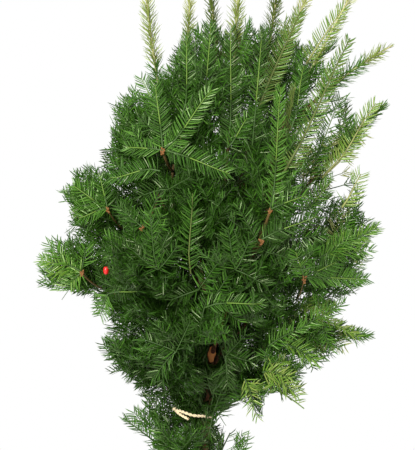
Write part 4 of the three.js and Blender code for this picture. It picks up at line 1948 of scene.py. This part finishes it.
    def _needle_shades(self, twig: Twig, foot: Array) -> NDArray[np.int64]:
        """Give each needle its green. A leader's own needles pale towards the plant's top.

        Args:
            twig: The needles' twig.
            foot: Where each needle stands.

        Returns:
            The numbers of their greens.
        """
        fresh = number_of(Green.FRESH)
        if twig.radial:
            steps = np.searchsorted(np.array(self.pale_from), foot[:, 2])
            if self.growth.plan.masses[twig.mass].name in self.dark_leaders:
                return np.where(steps < len(self.pale_from), number_of(Green.OLIVE), fresh + 1)
            return fresh + steps
        # Within a spray some needles take a paler green and some a darker one: chance in their tone, and
        # partly painted highlight streaks and painted shade between the needles
        step = np.arange(len(foot)) * 7 % 10
        if twig.shade > fresh:
            green = list(Green)[twig.shade]
            other, tenths = MIXED.get(green, (green, 0))
            return np.where(step < tenths, number_of(other), twig.shade)
        return np.clip(twig.shade + (step < 4).astype(int) + (step == 0) - (step > 6).astype(int), 0, fresh)

    def _add_twig(self, stock: MeshParts, twig: Twig) -> None:
        """Add one twig's thin tube to the twigs' mesh, brown on its older part.

        Args:
            stock: The twigs' mesh.
            twig: The twig.
        """
        curve = twig.curve
        if twig.bare == 1:
            stock.add(*tube(curve, 6, 12, tapering(twig.thick, self.old_taper)), number_of(Rind.BROWN))
            if twig.shown:
                self._add_scales(stock, twig)
            return
        own = twig.order == 0
        rind = self._rind(twig)
        lengths: list[tuple[float, int, Rind]] = []
        if own and twig.bare:
            lengths.append((twig.bare, 6, Rind.BROWN))
        if twig.shown and rind is Rind.NEW:
            lengths.append((self.green_until, 3, Rind.GREEN))
        if own and twig.radial:
            low, high = curve.point(twig.bare)[2], curve.point(1)[2]
            share = float(np.clip((self.straw_from - low) / (high - low), 0.02, 0.98))
            lengths.append((twig.bare + (1 - twig.bare) * share, 4, Rind.OCHRE))
        lengths.append((1, 7 if own else 5 if twig.order == 1 else 3, rind))
        sides = self.own_sides if own or twig.shown else self.side_sides
        radius, start = tapering(twig.thick, self.taper), 0.0
        for end, rings, colour in lengths:
            stock.add(*tube(curve, sides, rings, radius, (start, end)), number_of(colour))
            start = end

    def _rind(self, twig: Twig) -> Rind:
        """Choose a green twig's rind: ochre, straw or lime on the pale shoots, green on the others."""
        if twig.rib:
            return twig.rib
        if twig.shown and twig.loose:
            return Rind.GREEN
        if twig.shown and twig.shade == number_of(Green.OLIVE):
            return Rind.OCHRE
        if twig.radial:
            return Rind.STRAW
        if twig.shown and list(Green)[twig.shade] in (Green.LIGHT, Green.PALE, Green.STRAW):
            return Rind.LIME
        newest = twig.curve.point(1)[2] > self.new_from if twig.shown else twig.shade > number_of(Green.FRESH)
        return Rind.NEW if newest else Rind.GREEN

    def _add_scales(self, stock: MeshParts, twig: Twig) -> None:
        """Add the small orange-brown bud scales round a fan's node.

        Args:
            stock: The twigs' mesh.
            twig: The fan's old twig, which ends at the node.
        """
        rule, node = self.scale_rule, twig.curve.point(1)
        draw = Seeded(int(rule.seed + abs(node[0]) * rule.seed_step))
        beside = np.cross(twig.facing, UP)
        for k in range(rule.count):
            angle = k * GOLDEN_TURN + draw()
            forwards = rule.forwards[0] + rule.forwards[1] * draw()
            way = unit(beside * math.cos(angle) + UP * math.sin(angle) + twig.facing * forwards)
            foot = node - UP * rule.drop * draw() - twig.facing * rule.inset
            tip = foot + way * (rule.length[0] + rule.length[1] * draw()) + UP * 2
            scale = Curve(foot, foot + way * rule.bend + UP, tip)
            stock.add(*tube(scale, 5, 5, self._scale_radius), number_of(Rind.BUD))

    def _scale_radius(self, share: Array, angle: Array) -> Array:
        """Give a bud scale's radius, which swells in the middle."""
        thin, more = self.scale_rule.thick
        return thin + more * np.sin(math.pi * share**self.scale_rule.bulge) + 0 * angle

    def _finish_needles(
        self, needles: MeshParts, held: set[int], greens: Sequence[bpy.types.Material], number: int
    ) -> bpy.types.Object:
        """Make one piece of needles.

        Args:
            needles: The piece's corners and triangles.
            held: The numbers of the masses in it.
            greens: The needles' materials.
            number: The piece's number.

        Returns:
            The piece.
        """
        piece = needles.build(f"needles_{number + 1}", greens, smooth=False)
        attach(piece, BODY)
        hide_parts(*[self.growth.plan.masses[index].node for index in sorted(held)])
        return piece

    def _needle_mesh(
        self, foot: Array, way: Array, face: Array, length: Array, lean: Array, draw: np.random.Generator
    ) -> tuple[Array, NDArray[np.int64]]:
        """Make needles: each a folded blade with a short point, curved like a sickle towards its twig's tip.

        Args:
            foot: Where each needle stands on its twig.
            way: Each needle's direction.
            face: The direction that its upper face turns to.
            length: Its length.
            lean: The twig's direction at its foot.
            draw: The source of seeded numbers.

        Returns:
            The corners and the triangles of all needles.
        """
        count, rule = len(foot), self.needle_rule
        normal = turned(face, way, draw.uniform(-rule.roll, rule.roll, count))
        half = np.cross(way, normal) * (rule.width / 2)
        ridge = normal * (rule.ridge * rule.width)
        sag = normal * (length * draw.uniform(*rule.sag, count))[:, None]
        sag += square_to(lean, way) * (length * draw.uniform(*rule.sickle, count))[:, None]
        near = foot + way * (rule.near * length)[:, None]
        far = foot + way * (rule.far * length)[:, None] + sag * rule.far_sag
        tip = foot + way * length[:, None] + sag
        slim = half * rule.far_width
        rows = [foot, near - half, near + ridge, near + half, far - slim, far + ridge, far + slim, tip]
        corners = np.stack(rows, axis=1).reshape(-1, 3)
        triangles = NEEDLE_FACES[:, None, :] + (np.arange(count) * len(rows))[None, :, None]
        return corners, triangles.reshape(-1, 3)


@dataclass
class Tie:
    """The twine round the stems: two plies twisted together in a loop, with a knot and a hanging tail."""

    growth: Growth
    height: float = 250
    radius: float = 31
    drop: float = 7
    thickness: float = 2.1
    tail: float = 34
    lay: float = 13.0
    ply: float = 1.4
    apart: float = 0.8
    sides: int = 7

    def _plies(self, parts: MeshParts, points: Array, closed: bool) -> None:
        """Twist two plies along a line of points.

        Args:
            parts: Where the plies go.
            points: The line, as rows.
            closed: Whether the line is a loop.
        """
        steps = np.linalg.norm(np.diff(points, axis=0), axis=1)
        reached = np.concatenate(([0.0], np.cumsum(steps)))
        turns = round(reached[-1] / self.lay) if closed else reached[-1] / self.lay
        heading = unit(np.gradient(points, axis=0))
        if closed:
            heading[0] = heading[-1] = unit(points[1] - points[-2])
        across = square_to(np.broadcast_to(UP, points.shape), heading)
        beside = np.cross(heading, across)
        for half in (0.0, math.pi):
            twist = reached / reached[-1] * turns * 2 * math.pi + half
            out = across * np.cos(twist)[:, None] + beside * np.sin(twist)[:, None]
            self._rope(parts, points + out * self.ply * self.apart, heading)

    def _rope(self, parts: MeshParts, line: Array, heading: Array) -> None:
        """Make one ply round a line of points.

        Args:
            parts: Where the ply goes.
            line: The points, as rows.
            heading: The line's direction at each.
        """
        across = square_to(np.broadcast_to(UP, line.shape), heading)
        ring = circles(across, np.cross(heading, across), round_angles(self.sides))
        corners = (line[:, None] + ring * self.ply).reshape(-1, 3)
        parts.add(corners, walls(len(line), self.sides))

    def make(self) -> list[bpy.types.Object]:
        """Make the tie's mesh.

        Returns:
            The one piece.
        """
        plan, growth = self.growth.plan, self.growth
        share = growth.share_at(self.height - self.drop)
        right = growth.stem.point(share)[0] + float(plan.stem_radius(share)) + plan.gap + self.thickness
        middle = right - self.radius
        angles = np.linspace(0, 2 * math.pi, 121)
        sway = 0.5 * np.sin(3 * angles)
        loop = np.stack(
            (
                middle + (self.radius + sway) * np.cos(angles),
                (self.radius + sway) * np.sin(angles),
                self.height - self.drop * np.cos(angles) + 0.8 * np.sin(5 * angles),
            ),
            axis=1,
        )
        parts = MeshParts()
        self._plies(parts, loop, closed=True)
        knot = np.array([middle - self.radius * 0.95, -self.radius * 0.32, self.height + self.drop * 0.95])
        end = knot + np.array([self.tail * 0.66, -28, -self.tail * 0.36])
        tail = Curve(knot, knot + np.array([self.tail * 0.2, -11, -self.tail * 0.2]), end)
        self._plies(parts, tail.at(np.linspace(0, 1, 30)), closed=False)
        turn = np.linspace(0, 4.4 * math.pi, 60)
        coil = knot + np.stack((1.6 * np.cos(turn), 2.6 * np.sin(turn), 0.32 * (turn - turn.mean())), axis=1)
        self._rope(parts, coil, unit(np.gradient(coil, axis=0)))
        piece = parts.build("twine", [TwineFinish().make()], smooth=True)
        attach(piece, BODY)
        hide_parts("twine_tie")
        log.info("twine: %d triangles", parts.triangles)
        return [piece]


@dataclass
class Berry:
    """The ripe berry: a fleshy cup, open at its end, on a short stalk."""

    growth: Growth
    mass: str = "left_low"
    along: float = 0.47
    stalk: tuple[float, float, float] = (4, -50, 31.5)
    radius: float = 4.6
    height: float = 12.5
    outline: tuple[tuple[float, float], ...] = (
        (0.02, -0.5),
        (0.42, -0.47),
        (0.78, -0.32),
        (0.98, -0.05),
        (0.94, 0.22),
        (0.76, 0.42),
        (0.58, 0.5),
        (0.46, 0.44),
        (0.4, 0.2),
        (0.02, 0.12),
    )
    sides: int = 20
    stalk_radius: float = 0.9

    def make(self) -> list[bpy.types.Object]:
        """Make the berry's mesh.

        Returns:
            The one piece.
        """
        index = [mass.name for mass in self.growth.plan.masses].index(self.mass)
        twig = self.growth.axis_curve(index).point(self.along)
        place = twig + np.array(self.stalk)
        heights = np.array([z for _, z in self.outline]) * self.height
        radii = np.array([r for r, _ in self.outline]) * self.radius
        ring = circles(RIGHT[None], BACK[None], round_angles(self.sides))
        corners = (place + ring * radii[:, None, None] + heights[:, None, None] * UP).reshape(-1, 3)
        parts = MeshParts()
        parts.add(corners, walls(len(self.outline), self.sides))
        stalk = Curve(twig, place - UP * self.height * 0.4)
        parts.add(*tube(stalk, 6, 6, tapering(self.stalk_radius, 0.0)), 1)
        piece = parts.build("berry", [ArilFinish().make(), RindFinish(Rind.GREEN).make()], smooth=True)
        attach(piece, BODY)
        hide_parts(f"foliage_{self.mass}")
        log.info("berry: %d triangles", parts.triangles)
        return [piece]


@dataclass
class Studio:
    """The floor, the light and the camera, in metres."""

    floor_radius: float = 1.05
    floor_corners: int = 128
    floor: str = "#f4f4f2"
    key_power: float = 95
    key_size: float = 1.0
    key_place: tuple[float, float, float] = (-0.8, -2.3, 1.25)
    aim: tuple[float, float, float] = (0.012, 0.0, 0.55)
    distance: float = 2.6
    seen_height: float = 0.72
    sensor: float = 36.0

    def make(self) -> None:
        """Make the studio."""
        self._floor()
        self._light()
        self._camera()

    def _floor(self) -> None:
        """Lay a round pale floor."""
        angles = round_angles(self.floor_corners)
        rim = [(self.floor_radius * math.cos(a), self.floor_radius * math.sin(a), 0.0) for a in angles]
        mesh = bpy.data.meshes.new("floor")
        mesh.from_pydata(rim, [], [list(range(self.floor_corners))])
        floor = bpy.data.objects.new("floor", mesh)
        bpy.context.scene.collection.objects.link(floor)
        settings = {"Base Color": linear(self.floor), "Roughness": 0.9}
        mesh.materials.append(surface("matt_pale_floor", settings)[0])

    def _light(self) -> None:
        """Light the scene: an even white surround, and one large soft light from the front and above."""
        world = bpy.data.worlds.new("studio")
        world.use_nodes = True
        world.node_tree.nodes.clear()
        sky = add_node(world.node_tree, "ShaderNodeBackground", {"Color": (1, 1, 1, 1), "Strength": 1.0})
        add_node(world.node_tree, "ShaderNodeOutputWorld", links={"Surface": sky.outputs["Background"]})
        bpy.context.scene.world = world
        key = bpy.data.lights.new("key", "AREA")
        key.energy = self.key_power
        key.size = self.key_size
        lamp = bpy.data.objects.new("key", key)
        lamp.location = self.key_place
        aim = np.array(self.aim) - np.array(lamp.location)
        tilt, turn = math.acos(-aim[2] / float(np.linalg.norm(aim))), math.atan2(aim[1], aim[0]) - math.pi / 2
        lamp.rotation_euler = (tilt, 0, turn)
        bpy.context.scene.collection.objects.link(lamp)
        view = bpy.context.scene.view_settings
        view.view_transform = "Standard"
        view.look = "None"

    def _camera(self) -> None:
        """Stand the camera level in front, so that the frame's height takes in the seen height."""
        lens = bpy.data.cameras.new("camera")
        lens.sensor_width = self.sensor
        lens.lens = self.sensor * self.distance / self.seen_height
        lens.clip_end = 50
        camera = bpy.data.objects.new("camera", lens)
        camera.location = (self.aim[0], self.aim[1] - self.distance, self.aim[2])
        camera.rotation_euler = (math.radians(90), 0, 0)
        bpy.context.scene.collection.objects.link(camera)
        bpy.context.scene.camera = camera


def main() -> None:
    """Build the plant and its studio."""
    logging.basicConfig(level=logging.INFO, format="%(name)s: %(message)s")
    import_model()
    Studio().make()
    growth = Growth(PLAN)
    for builder in (Wood(growth), Foliage(growth), Tie(growth), Berry(growth)):
        for piece in builder.make():
            log.info("made %s", piece.name)


if __name__ == "__main__":
    main()
